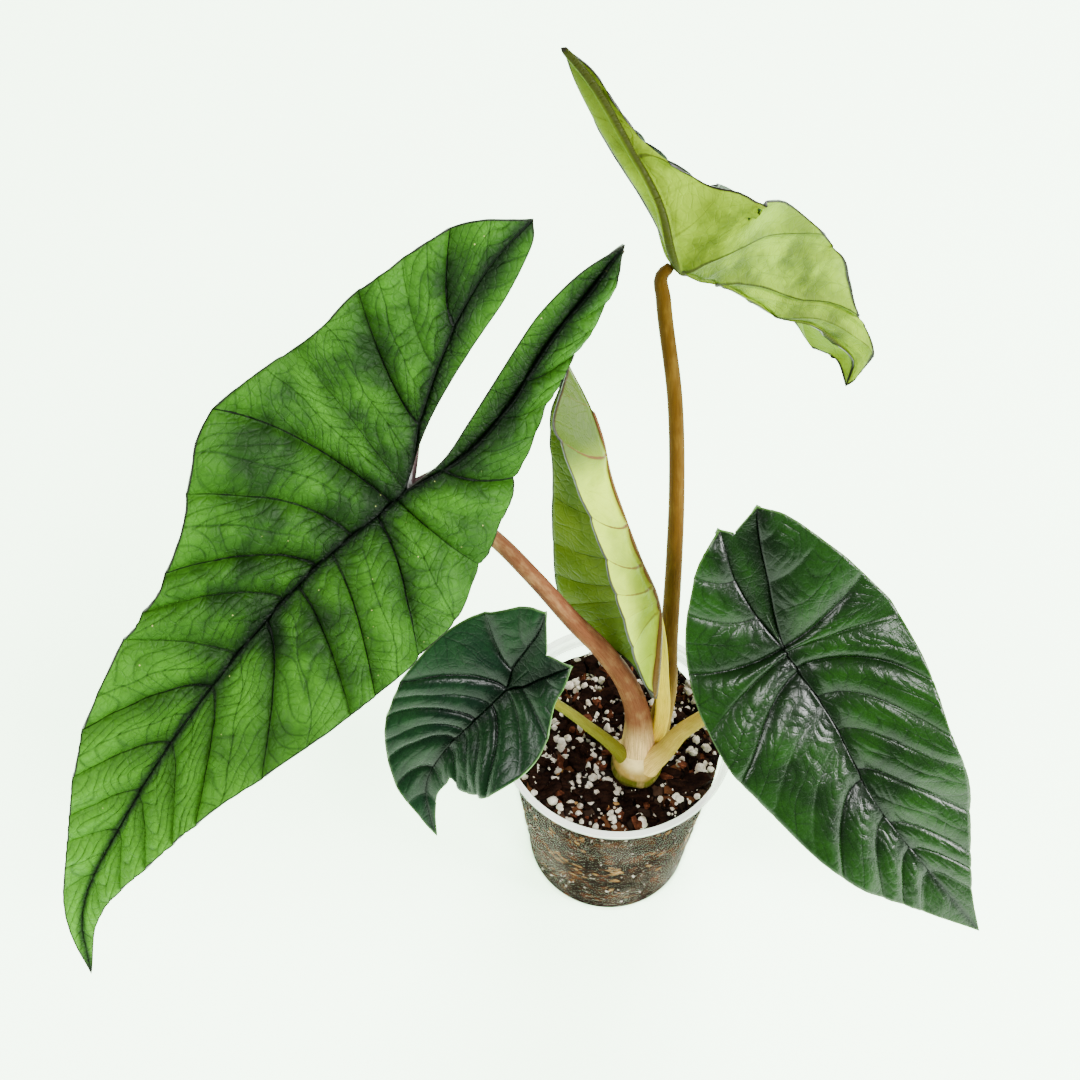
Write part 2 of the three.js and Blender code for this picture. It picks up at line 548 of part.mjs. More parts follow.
// Filled mix with an uneven top; its sides stay a fit away from the pot wall
function soil() {
  const draw = draws(71);
  const bottom = FLOOR + FIT;
  const rings = [];
  const height = (x, y) => SOIL_TOP + 1.1 * Math.sin(x * 0.21 + 1) * Math.cos(y * 0.17)
    + 0.8 * Math.sin(x * 0.53 - y * 0.41) + 0.5 * Math.cos(y * 0.83 + x * 0.2);
  const positions = [0, 0, height(0, 0)];
  for (let i = 1; i <= SOIL_RINGS; i += 1) {
    for (let k = 0; k < SOIL_SIDES; k += 1) {
      const turn = (2 * Math.PI * k) / SOIL_SIDES;
      const limit = wallInside(SOIL_TOP - 2) - FIT - 0.1;
      const r = (limit * i) / SOIL_RINGS;
      const x = r * Math.cos(turn);
      const y = r * Math.sin(turn);
      const rough = i < SOIL_RINGS ? (draw() - 0.5) * 1.6 : 0;
      positions.push(x, y, i < SOIL_RINGS ? height(x, y) + rough : SOIL_TOP - 2);
    }
  }
  for (let k = 0; k < SOIL_SIDES; k += 1) {
    const turn = (2 * Math.PI * k) / SOIL_SIDES;
    const r = wallInside(bottom) - FIT - 0.1;
    positions.push(r * Math.cos(turn), r * Math.sin(turn), bottom);
  }
  positions.push(0, 0, bottom);
  const triangles = [];
  const at = (i, k) => 1 + (i - 1) * SOIL_SIDES + (k % SOIL_SIDES);
  for (let k = 0; k < SOIL_SIDES; k += 1) triangles.push(0, at(1, k), at(1, k + 1));
  for (let i = 1; i <= SOIL_RINGS; i += 1) {
    for (let k = 0; k < SOIL_SIDES; k += 1) {
      triangles.push(at(i, k), at(i + 1, k), at(i + 1, k + 1), at(i, k), at(i + 1, k + 1), at(i, k + 1));
    }
  }
  const last = positions.length / 3 - 1;
  for (let k = 0; k < SOIL_SIDES; k += 1) {
    triangles.push(last, at(SOIL_RINGS + 1, k + 1), at(SOIL_RINGS + 1, k));
  }
  const geometry = new THREE.BufferGeometry();
  geometry.setAttribute("position", new THREE.Float32BufferAttribute(positions, 3));
  geometry.setIndex(triangles);
  let body = toSolid(geometry);
  const lump = (kind, size, x, y, z) => {
    const shape = kind === "grain" ? new THREE.IcosahedronGeometry(size, 0) : new THREE.BoxGeometry(
      size * 2.4, size * 1.3, size * 0.9);
    shape.rotateX(draw() * 6);
    shape.rotateY(draw() * 6);
    shape.rotateZ(draw() * 6);
    shape.translate(x, y, z);
    return toSolid(shape);
  };
  for (let i = 0; i < GRAINS + BARK_BITS; i += 1) {
    const grain = i < GRAINS;
    const turn = draw() * 2 * Math.PI;
    const r = 41 * Math.sqrt(draw());
    const x = r * Math.cos(turn);
    const y = r * Math.sin(turn);
    const size = grain ? 1.5 + 2 * draw() : 2 + 1.6 * draw();
    const clear = Math.hypot(x - STEM_X, y - STEM_Y) > STEM_RADIUS + 6;
    if (clear) body = body.add(lump(grain ? "grain" : "bark", size, x, y, height(x, y) + size * 0.25));
  }
  return body;
}

function stem(extra) {
  const r = STEM_RADIUS + extra;
  const geometry = lathe([
    [0, STEM_BOTTOM - extra], [r - 3, STEM_BOTTOM - extra], [r - 0.6, STEM_BOTTOM + 12],
    [r - 0.6, SOIL_TOP - 6],
    [r, SOIL_TOP + 2], [r + 0.8, SOIL_TOP + 4], [r - 0.4, SOIL_TOP + 6], [r, SOIL_TOP + 9],
    [r - 1.2, STEM_TOP - 5.5], [r - 3.2, STEM_TOP + extra - 2], [r - 6, STEM_TOP + extra],
    [0, STEM_TOP + extra],
  ], 24);
  geometry.translate(STEM_X, STEM_Y, 0);
  return toSolid(geometry);
}

const MATERIALS = {
  pot: [0xdfe6e4, 0.25], soil: [0x2a1f1a, 0.95], stem: [0xb9a06a, 0.55],
  big: [0x3f8f2a, 0.35], right: [0x2c5a34, 0.3], small: [0x24413a, 0.3], tall: [0x9fbf5a, 0.45],
  young: [0xa9cf6a, 0.45],
  bigStalk: [0xb98f78, 0.45], rightStalk: [0xb9a35a, 0.45], smallStalk: [0x6f7a4a, 0.45],
  tallStalk: [0x9a6a2c, 0.45], youngStalk: [0xd6c95e, 0.45],
};

function named(name, geometry, look) {
  const [color, roughness] = MATERIALS[look];
  const mesh = new THREE.Mesh(geometry, new THREE.MeshStandardMaterial({ color, roughness, metalness: 0 }));
  mesh.name = name;
  return mesh;
}

const group = new THREE.Group();
group.name = "potted_alocasia";
const trunk = stem(0);
let kept = stem(FIT);
group.add(named("pot", toGeometry(pot()), "pot"));
group.add(named("soil", toGeometry(largest(soil().subtract(kept))), "soil"));
group.add(named("stem", toGeometry(trunk), "stem"));
for (const key of ["young", "tall", "big", "right", "small"]) {
  const leaf = BLADES[key];
  const stalk = PETIOLES[key];
  const shell = toSolid(blade(leaf, BLADE_THICKNESS));
  let cutter = toSolid(blade(leaf, BLADE_THICKNESS + 2 * FIT));
  for (const step of [[FIT, 0, 0], [-FIT, 0, 0], [0, FIT, 0], [0, -FIT, 0], [0, 0, FIT], [0, 0, -FIT]]) {
    cutter = cutter.add(shell.translate(step));
  }
  const tube = largest(toSolid(petiole(stalk, 0)).subtract(kept).subtract(cutter));
  kept = kept.add(toSolid(petiole(stalk, FIT)));
  group.add(named(`${key}_leaf_petiole`, toGeometry(tube), `${key}Stalk`));
  group.add(named(`${key}_leaf_blade`, toGeometry(shell), key));
}

export default group;
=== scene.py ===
import math
import random

import bpy
import numpy as np
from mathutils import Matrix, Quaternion, Vector, noise


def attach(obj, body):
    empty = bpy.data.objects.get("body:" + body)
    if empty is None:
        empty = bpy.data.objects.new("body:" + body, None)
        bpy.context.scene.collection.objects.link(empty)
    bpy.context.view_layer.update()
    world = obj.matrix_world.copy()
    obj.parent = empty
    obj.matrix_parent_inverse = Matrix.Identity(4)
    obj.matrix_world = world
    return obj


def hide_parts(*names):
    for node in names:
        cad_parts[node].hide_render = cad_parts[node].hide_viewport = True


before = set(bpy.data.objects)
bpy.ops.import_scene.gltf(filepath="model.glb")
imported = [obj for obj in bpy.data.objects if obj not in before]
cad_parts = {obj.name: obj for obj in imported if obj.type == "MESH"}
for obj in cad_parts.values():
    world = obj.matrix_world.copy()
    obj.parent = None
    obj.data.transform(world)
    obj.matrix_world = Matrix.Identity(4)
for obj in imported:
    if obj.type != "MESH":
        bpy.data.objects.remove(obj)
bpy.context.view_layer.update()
bpy.ops.object.select_all(action="DESELECT")

MM = 0.001

# ---- sizes shared with the solids, mm
RIM_RADIUS = 52.0
POT_HEIGHT = 116.0
BASE_RADIUS = 40.0
WALL = 1.1
FLOOR = 1.4
RIM_LIP = 3.0
RIM_DEPTH = 7.0
SOIL_TOP = 104.0
FIT = 0.35
STEM_X = 9.0
STEM_Y = -13.0
STEM_RADIUS = 10.5
STEM_TOP = 122.0
CREASE = 6.0

BLADES = {
    "big": dict(
        spine=[[-17, 100, 318], [-84, 27, 257], [-117, -1, 247], [-154, -38, 225], [-190, -74, 186],
            [-212, -99, 145], [-212, -112, 122]],
        joint=1,
        toward=[[0.15, -0.52, 0.84]],
        fold_left=[10, 15, 20, 20, 20, 20, 10],
        fold_right=[-10, 5, 15, 20, 20, 10, 5],
        curl_left=[0],
        curl_right=[-40, -60, -30, -15, 0, 0, 0],
        reach=70,
        left=[[-110, 19], [-92, 43], [-55, 60], [-33, 64], [-12, 67], [15, 70], [38, 69], [52, 58],
            [64, 48], [84, 39], [110, 37], [135, 32], [160, 24], [195, 12], [245, 0]],
        veins_left=[[-1, 0, 1], [-0.56, 1, 1], [-0.42, 1.5, 0.4], [-0.23, 2, 1], [0, 4, 0.5],
            [0.03, 5.9, 1], [0.11, 7.4, 0.9], [0.18, 8.8, 1], [0.25, 9.4, 0.8], [0.36, 9.8, 0.7],
            [0.42, 11.2, 1], [0.53, 11.9, 0.8], [0.62, 12.4, 0.7], [0.7, 12.7, 0.6], [0.79, 13.2, 0.5],
            [1, 14, 1]],
        right=[[-122, -15], [-104, -21], [-84, -22], [-64, -22], [-44, -25], [-12, -36], [16, -49],
            [45, -51], [68, -49], [92, -44], [118, -36], [145, -27], [168, -20], [205, -9], [245, 0]],
        veins_right=[[-1, 0, 1], [-0.68, 1.2, 0.5], [-0.48, 2.3, 0.8], [-0.35, 3.4, 0.6], [-0.12, 4.5, 1],
            [0, 4.9, 0.2], [0.02, 5.4, 0.8], [0.06, 6.7, 1], [0.15, 7.9, 0.8], [0.22, 8.4, 0.9],
            [0.29, 10, 1], [0.42, 11.2, 0.8], [0.53, 11.8, 0.6], [0.63, 12.3, 0.6], [0.7, 12.7, 0.5],
            [0.8, 13.1, 0.4], [1, 14, 1]],
        rib_left=[[0, 0], [-25, 14], [-55, 22], [-85, 24], [-110, 19]],
        rib_right=[[0, 0], [-25, -8], [-50, -11], [-75, -11], [-100, -14], [-122, -15]],
        inner_left=[[0, 0], [-17, 8], [-35, 12], [-58, 13], [-82, 12], [-102, 14], [-110, 19]],
        inner_right=[[0, 0], [-18, -2.5], [-35, -1.5], [-52, -1], [-68, -1], [-84, -2], [-104, -7],
            [-122, -15]],
        sweep=1.5, quilt=3.2, groove=1.4, wave=1.6, rib=2.6, fine=1.1),
    "right": dict(
        spine=[[43, 23, 230], [64, -3, 190], [83, -23, 171], [103, -47, 143], [129, -65, 113],
            [155, -80, 82]],
        joint=1,
        toward=[[-0.16, -0.49, 0.86]],
        fold=[10, 15, 20, 20, 15, 10],
        curl=[-20],
        reach=50,
        left=[[-62, -12], [-56, -20], [-42, -30], [-26, -39], [0, -46], [26, -45], [40, -43], [56, -41],
            [80, -39], [98, -33], [118, -21], [142, -8], [162, 0]],
        veins_left=[[-1, 0, 1], [-0.69, 1.1, 0.3], [-0.38, 2, 0.4], [0, 3.3, 1], [0.01, 4.5, 0.6],
            [0.06, 5.9, 1], [0.15, 7.2, 0.7], [0.25, 8.1, 0.6], [0.37, 9.4, 1], [0.55, 10.2, 0.7],
            [0.65, 10.5, 0.6], [0.74, 10.9, 0.5], [1, 12, 1]],
        right=[[-59, 5], [-50, 17], [-34, 27], [-18, 35], [6, 43], [30, 46], [50, 42], [66, 37], [84, 32],
            [104, 26], [128, 15], [146, 7], [162, 0]],
        veins_right=[[-1, 0, 1], [-0.59, 1.4, 0.7], [-0.26, 2.2, 0.6], [0, 3.4, 1], [0.02, 4.2, 0.7],
            [0.07, 5.4, 1], [0.17, 6.6, 0.35], [0.28, 7.8, 0.35], [0.4, 8.5, 1], [0.52, 9.4, 0.7],
            [0.64, 9.8, 0.6], [0.73, 10.2, 0.5], [1, 12, 1]],
        rib_left=[[0, 0], [-27, -5], [-47, -8], [-62, -12]],
        rib_right=[[0, 0], [-22, 5], [-40, 7], [-59, 5]],
        inner_left=[[0, 0], [-19, 0], [-37, 0], [-55, 0], [-62, -12]],
        inner_right=[[0, 0], [-19, 0], [-37, 0], [-55, 0], [-59, 5]],
        fused=True, sweep=1.8, quilt=2, groove=1, wave=0.5, rib=2, fine=0.42),
    "small": dict(
        spine=[[-26, -4, 195], [-47, -11, 171], [-61, -19, 158], [-74, -25, 142], [-82, -32, 123],
            [-81, -39, 111], [-78, -45, 102]],
        joint=1,
        toward=[[0.04, -0.48, 0.88]],
        fold=[10, 15, 20, 20, 20, 20, 10],
        curl=[10],
        reach=35,
        left=[[-39, 13], [-36, 20], [-24, 28], [-12, 34], [4, 37], [22, 36], [36, 31], [48, 24], [60, 15],
            [74, 6], [89, 0]],
        veins_left=[[-1, 0, 1], [-0.58, 1.3, 0.4], [-0.21, 2.3, 1], [0, 5.2, 1], [0.11, 5.7, 0.4],
            [0.22, 6.2, 1], [0.3, 6.9, 0.5], [0.37, 7.5, 1], [0.58, 8.2, 0.8], [0.75, 8.7, 0.6],
            [1, 10, 1]],
        right=[[-31, -10], [-26, -14], [-16, -18], [-6, -25], [4, -30], [14, -32], [28, -30], [38, -27],
            [46, -20], [49, -14], [48, -9.5], [54, -9], [66, -5.5], [89, 0]],
        veins_right=[[-1, 0, 1], [-0.61, 1.4, 0.4], [-0.2, 3.3, 0.7], [0, 5.3, 0.5], [0.11, 6.8, 1],
            [0.22, 7.5, 0.4], [0.3, 8.1, 0.4], [0.42, 9.2, 0.7], [0.58, 11.5, 0.6], [0.75, 12.3, 0.5],
            [1, 13, 1]],
        rib_left=[[0, 0], [-9, 5], [-18, 7], [-28, 9], [-39, 13]],
        rib_right=[[0, 0], [-7, -4], [-15, -6], [-22, -8], [-31, -10]],
        inner_left=[[0, 0], [-9, 0], [-17, 0], [-25, 0], [-39, 13]],
        inner_right=[[0, 0], [-9, 0], [-17, 0], [-25, 0], [-31, -10]],
        fused=True, sweep=1.6, quilt=1.6, groove=0.8, wave=0.5, rib=1.5, fine=0.3),
    "tall": dict(
        spine=[[-26, 152, 358], [-11, 131, 339], [6, 113, 320], [21, 99, 300], [37, 107, 284],
            [50, 113, 269], [64, 117, 254], [80, 123, 242], [93, 126, 227], [102, 126, 215],
            [101, 124, 202]],
        joint=3,
        toward=[[0.85, 0.42, 0.3], [0.82, 0.47, 0.32], [0.78, 0.5, 0.35], [0.72, 0.57, 0.4],
            [0.55, 0.68, 0.47]],
        fold_left=[70],
        fold_right=[70, 70, 70, 70, 68, 62, 50, 20, -20, -28, -20],
        curl=[10],
        reach=60,
        left=[[-93, 4], [-80, 10], [-62, 12], [-43, 15], [-26, 24], [-14, 37], [12, 42], [34, 41],
            [54, 39], [77, 35], [87, 25], [98, 17], [115, 13], [136, 0]],
        veins_left=[[-1, 0, 1], [-0.79, 1.6, 0.4], [-0.47, 3.4, 0.8], [-0.15, 4.4, 0.4], [0, 7.8, 1],
            [0.07, 9.1, 0.3], [0.15, 11.1, 1], [0.31, 11.7, 0.3], [0.46, 12.3, 0.8], [1, 13, 1]],
        right=[[-76, -7], [-68, -12], [-56, -15], [-43, -19], [-29, -25], [-16, -32], [10, -37.5],
            [33, -39], [54, -39], [76, -35], [89, -26], [101, -19], [117, -13], [136, 0]],
        veins_right=[[-1, 0, 1], [-0.82, 1.1, 0.9], [-0.64, 1.9, 0.9], [-0.48, 2.6, 0.9],
            [-0.31, 3.4, 0.9], [-0.15, 4.3, 0.9], [0, 6.4, 1], [0.09, 8, 0.9], [0.21, 9, 0.8],
            [0.35, 10.5, 0.8], [0.51, 11.6, 0.7], [1, 13, 1]],
        rib_left=[[0, 0], [-24, 6], [-48, 8], [-72, 8], [-93, 4]],
        rib_right=[[0, 0], [-20, -6], [-38, -8], [-57, -9], [-76, -7]],
        inner_left=[[0, 0], [-28, 1.2], [-56, 1.2], [-78, 1.5], [-93, 4]],
        inner_right=[[0, 0], [-22, -1.2], [-44, -1.2], [-62, -2], [-76, -7]],
        sweep=2.2, quilt=1.5, groove=0.6, wave=1, rib=2, fine=0.35),
    "young": dict(
        spine=[[13, -5, 156], [14, 7, 174], [12, 18, 193], [5, 27, 208], [-1, 36, 222], [-8, 48, 241],
            [-10, 53, 251], [-17, 65, 267], [-24, 73, 277]],
        joint=2,
        toward=[[-0.93, -0.3, -0.2]],
        fold_left=[62],
        fold_right=[72],
        curl_left=[-20],
        curl_right=[-10],
        reach=30,
        left=[[-44, 3], [-33, 10], [-20, 16], [-4, 20], [14, 19], [28, 17], [45, 17], [62, 19], [78, 22],
            [92, 20], [107, 0]],
        veins_left=[[-1, 0, 1], [-0.49, 1.6, 0.3], [-0.1, 2.4, 0.6], [0, 3.4, 0.3], [0.06, 4.1, 0.8],
            [0.16, 5.1, 0.9], [0.33, 6.2, 1], [0.63, 8.3, 1], [0.82, 9.5, 0.4], [1, 10, 1]],
        right=[[-42, -5], [-33, -11], [-22, -25], [-6, -38], [12, -40], [28, -35], [46, -29], [62, -23],
            [76, -22], [92, -16], [107, 0]],
        veins_right=[[-1, 0, 1], [-0.53, 1.4, 0.4], [-0.21, 2.5, 0.5], [0, 3.5, 0.4], [0.07, 4.5, 0.6],
            [0.18, 5.3, 0.6], [0.35, 6.4, 0.6], [0.62, 8.4, 0.6], [0.81, 9.3, 0.4], [1, 10, 1]],
        rib_left=[[0, 0], [-15, 3], [-30, 4], [-44, 3]],
        rib_right=[[0, 0], [-13, -4], [-28, -6], [-42, -5]],
        inner_left=[[0, 0], [-15, 1], [-30, 1.2], [-44, 3]],
        inner_right=[[0, 0], [-13, -1], [-28, -2], [-42, -5]],
        sweep=1.8, quilt=0.9, groove=0.5, wave=0.5, rib=2.4, fine=0.2),
}

# each petiole: its points, radius at base and top, and how much its foot flares
PETIOLES = {
    "big": ([[9, -14, 112], [9, -7, 125], [8, -3, 136], [3, 2, 152], [-7, 7, 170], [-20, 11, 188],
             [-36, 18, 210], [-53, 25, 230], [-70, 29, 245], [-83, 27, 256]], 5.6, 3.2, 3.2),
    "tall": ([[15, -8, 112], [19, 0, 129], [21, 7, 141], [21, 16, 155], [22, 38, 189], [22, 55, 217],
              [20, 75, 250], [14, 97, 286], [13, 100, 296], [16, 100, 300], [21, 99, 300]], 4.4, 3.0, 1.6),
    "right": ([[11, -17, 112], [20, -15, 124], [26, -12, 134], [36, -10, 146], [48, -8, 163],
               [57, -5, 180], [64, -3, 190]], 4.8, 2.6, 2.2),
    "young": ([[13, -10, 112], [18, -5, 126], [19, -2, 136], [18, 4, 152], [16, 11, 173],
               [12, 18, 192]], 3.6, 2.8, 1.8),
    "small": ([[5, -15, 112], [0, -14, 122], [-6, -13, 131], [-13, -12, 140], [-22, -11, 152],
               [-34, -10, 164], [-47, -11, 171]], 3.2, 2.0, 1.2),
}


# ---- curves and leaf posture
def through(keys, values, q):
    """Smooth curve through values at rising keys, straight on beyond both ends."""
    keys = np.asarray(keys, float)
    values = np.asarray(values, float)
    flat = values.ndim == 1
    if flat:
        values = values[:, None]
    q = np.asarray(q, float)
    gaps = np.diff(keys)
    slopes = np.diff(values, axis=0) / gaps[:, None]
    tangents = np.empty_like(values)
    tangents[0] = slopes[0]
    tangents[-1] = slopes[-1]
    for k in range(1, len(keys) - 1):
        before, after = gaps[k - 1], gaps[k]
        tangents[k] = (slopes[k - 1] * after + slopes[k] * before) / (before + after)
    i = np.clip(np.searchsorted(keys, q, side="right") - 1, 0, len(keys) - 2)
    t = (q - keys[i]) / gaps[i]
    c = np.clip(t, 0, 1)[..., None]
    h = gaps[i][..., None]
    out = (values[i] * (2 * c**3 - 3 * c**2 + 1) + tangents[i] * h * (c**3 - 2 * c**2 + c)
           + values[i + 1] * (3 * c**2 - 2 * c**3) + tangents[i + 1] * h * (c**3 - c**2))
    over = (t[..., None] - c) * h
    out = out + over * np.where(t[..., None] > 1, tangents[i + 1], tangents[i])
    return out[..., 0] if flat else out


def unit(v):
    return v / np.maximum(np.linalg.norm(v, axis=-1, keepdims=True), 1e-12)


def spread(values, count):
    return [values[min(i, len(values) - 1)] for i in range(count)]


def posture(leaf):
    """Returns the function that bends a flat place (along, across) of a blade into space."""
    spine = np.array(leaf["spine"], float)
    steps = np.linalg.norm(np.diff(spine, axis=0), axis=1)
    keys = np.concatenate([[0], np.cumsum(steps)])
    keys = keys - keys[leaf["joint"]]
    count = len(spine)
    faces = np.array(spread(leaf["toward"], count), float)

    def halves(key):
        """The posture list of each half, one for both where the leaf has only one."""
        return {side: np.array(spread(leaf.get(key + "_" + side, leaf.get(key)), count), float)
                for side in ("left", "right")}

    folds = halves("fold")
    curls = halves("curl")

    def place(a, b, side):
        base = through(keys, spine, a)
        along = unit(through(keys, spine, a + 0.5) - through(keys, spine, a - 0.5))
        face = through(keys, faces, a)
        across = unit(np.cross(along, face))
        up = np.cross(across, along)
        fold = through(keys, folds[side], a)
        curl = through(keys, curls[side], a)
        width = np.abs(b)
        out = np.zeros_like(width)
        rise = np.zeros_like(width)
        n = 16
        for i in range(n):
            q = width * (i + 0.5) / n
            near = np.minimum(q / CREASE, 1)
            angle = np.radians(fold * near * near * (3 - 2 * near) + curl * q / leaf["reach"])
            out += np.cos(angle) * width / n
            rise += np.sin(angle) * width / n
        return base + (np.sign(b) * out)[..., None] * across + rise[..., None] * up

    return place


def on_curve(points, f):
    keys = np.arange(len(points)) / (len(points) - 1)
    return through(keys, np.array(points, float), f)


# ---- small tools for pieces
def finish_piece(piece, name, node, material=None, others=()):
    piece.name = name
    piece.data.name = name
    if material is not None:
        piece.data.materials.clear()
        for m in (material if isinstance(material, (list, tuple)) else [material]):
            piece.data.materials.append(m)
    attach(piece, "root")
    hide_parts(node, *others)
    return piece


def pick(*pieces):
    """Selects these pieces alone and makes the first one active."""
    bpy.ops.object.select_all(action="DESELECT")
    for piece in pieces:
        piece.select_set(True)
    bpy.context.view_layer.objects.active = pieces[0]


def apply_modifiers(piece):
    pick(piece)
    for modifier in list(piece.modifiers):
        bpy.ops.object.modifier_apply(modifier=modifier.name)


def edit(piece, *operations):
    """Runs edit-mode operators on all of a piece."""
    pick(piece)
    bpy.ops.object.mode_set(mode="EDIT")
    bpy.ops.mesh.select_all(action="SELECT")
    for operation in operations:
        operation()
    bpy.ops.object.mode_set(mode="OBJECT")


def weld(distance=2e-6):
    return lambda: bpy.ops.mesh.remove_doubles(threshold=distance)


def outward():
    return lambda: bpy.ops.mesh.normals_make_consistent(inside=False)


def smooth(piece, angle=None):
    pick(piece)
    if angle is None:
        bpy.ops.object.shade_smooth()
    else:
        bpy.ops.object.shade_smooth_by_angle(angle=math.radians(angle))


def join(pieces):
    pick(*pieces)
    bpy.ops.object.join()
    return pieces[0]


def read_points(piece):
    co = np.empty(len(piece.data.vertices) * 3)
    piece.data.vertices.foreach_get("co", co)
    return co.reshape(-1, 3)


def flat_grid(columns, rows):
    """A flat grid; returns it with the two shares (0 to 1) of each of its points."""
    bpy.ops.object.select_all(action="DESELECT")
    bpy.ops.mesh.primitive_grid_add(x_subdivisions=columns, y_subdivisions=rows, size=1)
    piece = bpy.context.active_object
    co = read_points(piece)
    return piece, np.round(co[:, 0] + 0.5, 7), np.round(co[:, 1] + 0.5, 7)


def set_points(piece, points_mm):
    piece.data.vertices.foreach_set("co", (np.asarray(points_mm) * MM).ravel())
    piece.data.update()


def get_points(piece):
    return read_points(piece) / MM


def give_uv(piece, name, u, v):
    """A named UV map from one pair of numbers per point."""
    layer = piece.data.uv_layers.get(name) or piece.data.uv_layers.new(name=name)
    corner = np.empty(len(piece.data.loops), np.int32)
    piece.data.loops.foreach_get("vertex_index", corner)
    layer.data.foreach_set("uv", np.stack([u[corner], v[corner]], -1).ravel())


def give_number(piece, name, values):
    layer = piece.data.attributes.get(name) or piece.data.attributes.new(name, "FLOAT", "POINT")
    layer.data.foreach_set("value", np.asarray(values, np.float32))


def get_number(piece, name):
    values = np.empty(len(piece.data.vertices), np.float32)
    piece.data.attributes[name].data.foreach_get("value", values)
    return values


# ---- blades
def ridge_noise(points, scale, seed):
    return np.array([noise.noise(Vector((p[0] * scale, p[1] * scale, seed))) for p in points])


# lesser veins, the same in the form and in the finish: lengths in mm, the rest shares
MID_SWAY = 0.12
CROSS_PITCH = 6.5
CROSS_SLANT = 0.8
CROSS_SWAY = 1.8
WIDE_PANEL = (14.0, 20.0)
SWAY_SCALE = 0.06
SWAY_SEED = 7.3


def panel_relief(leaf, q, dips, v, rib_mm, span, flat, ends):
    """Height in mm over the mid surface: grooves, swollen panels, lesser veins and wrinkles."""
    f = q - np.floor(q)
    swell = np.sin(np.pi * f) ** 0.62
    dip = (1 - swell) * dips
    body = np.sin(np.pi * np.minimum(v * 0.82 + 0.1, 1)) ** 0.7
    lift = leaf["quilt"] * (1 - dip) * body - leaf["groove"] * dip * (1 - v * 0.7)
    lift += leaf["wave"] * (1 - 2 * dip) * v**3
    fine = leaf["fine"]
    sway = ridge_noise(flat, SWAY_SCALE, SWAY_SEED)
    off = np.minimum(f, 1 - f) * span
    # one lesser vein in the middle of the wide panels
    middle = 0.5 + MID_SWAY * sway
    near = np.abs(f - middle) * span
    wide = np.clip((span - WIDE_PANEL[0]) / (WIDE_PANEL[1] - WIDE_PANEL[0]), 0, 1)
    lift -= fine * 0.5 * np.exp(-((near / 1.1) ** 2)) * wide * np.clip(v * 6, 0, 1)
    # cross veins, slanting away from the main ones, with bulges between them
    slant = (rib_mm - CROSS_SLANT * off) / CROSS_PITCH + CROSS_SWAY * sway
    bulge = np.abs(np.sin(np.pi * slant)) ** 0.75
    lift += fine * 0.7 * (bulge - 0.6) * np.clip(off / 4, 0, 1) * np.clip(rib_mm / 5, 0, 1)
    lift += fine * 0.8 * ridge_noise(flat, 0.11, 2.2) * np.clip(rib_mm / 6, 0, 1)
    lift += fine * 0.35 * ridge_noise(flat, 0.34, 5.1) * np.clip(rib_mm / 4, 0, 1)
    lift = np.where(rib_mm < 1e-4, -leaf["groove"], lift)
    return lift * ends


def half_columns(leaf, side, per_panel):
    """Vein place, rib share and margin place of each column of one half, and its joint column."""
    veins = np.array(leaf["veins_" + side], float)
    q = np.arange((len(veins) - 1) * per_panel + 1) / per_panel
    keys = np.arange(len(veins))
    s = np.interp(q, keys, veins[:, 0])
    m = np.interp(q, keys, veins[:, 1])
    return q, s, m, int(np.argmax(veins[:, 0] >= 0)) * per_panel


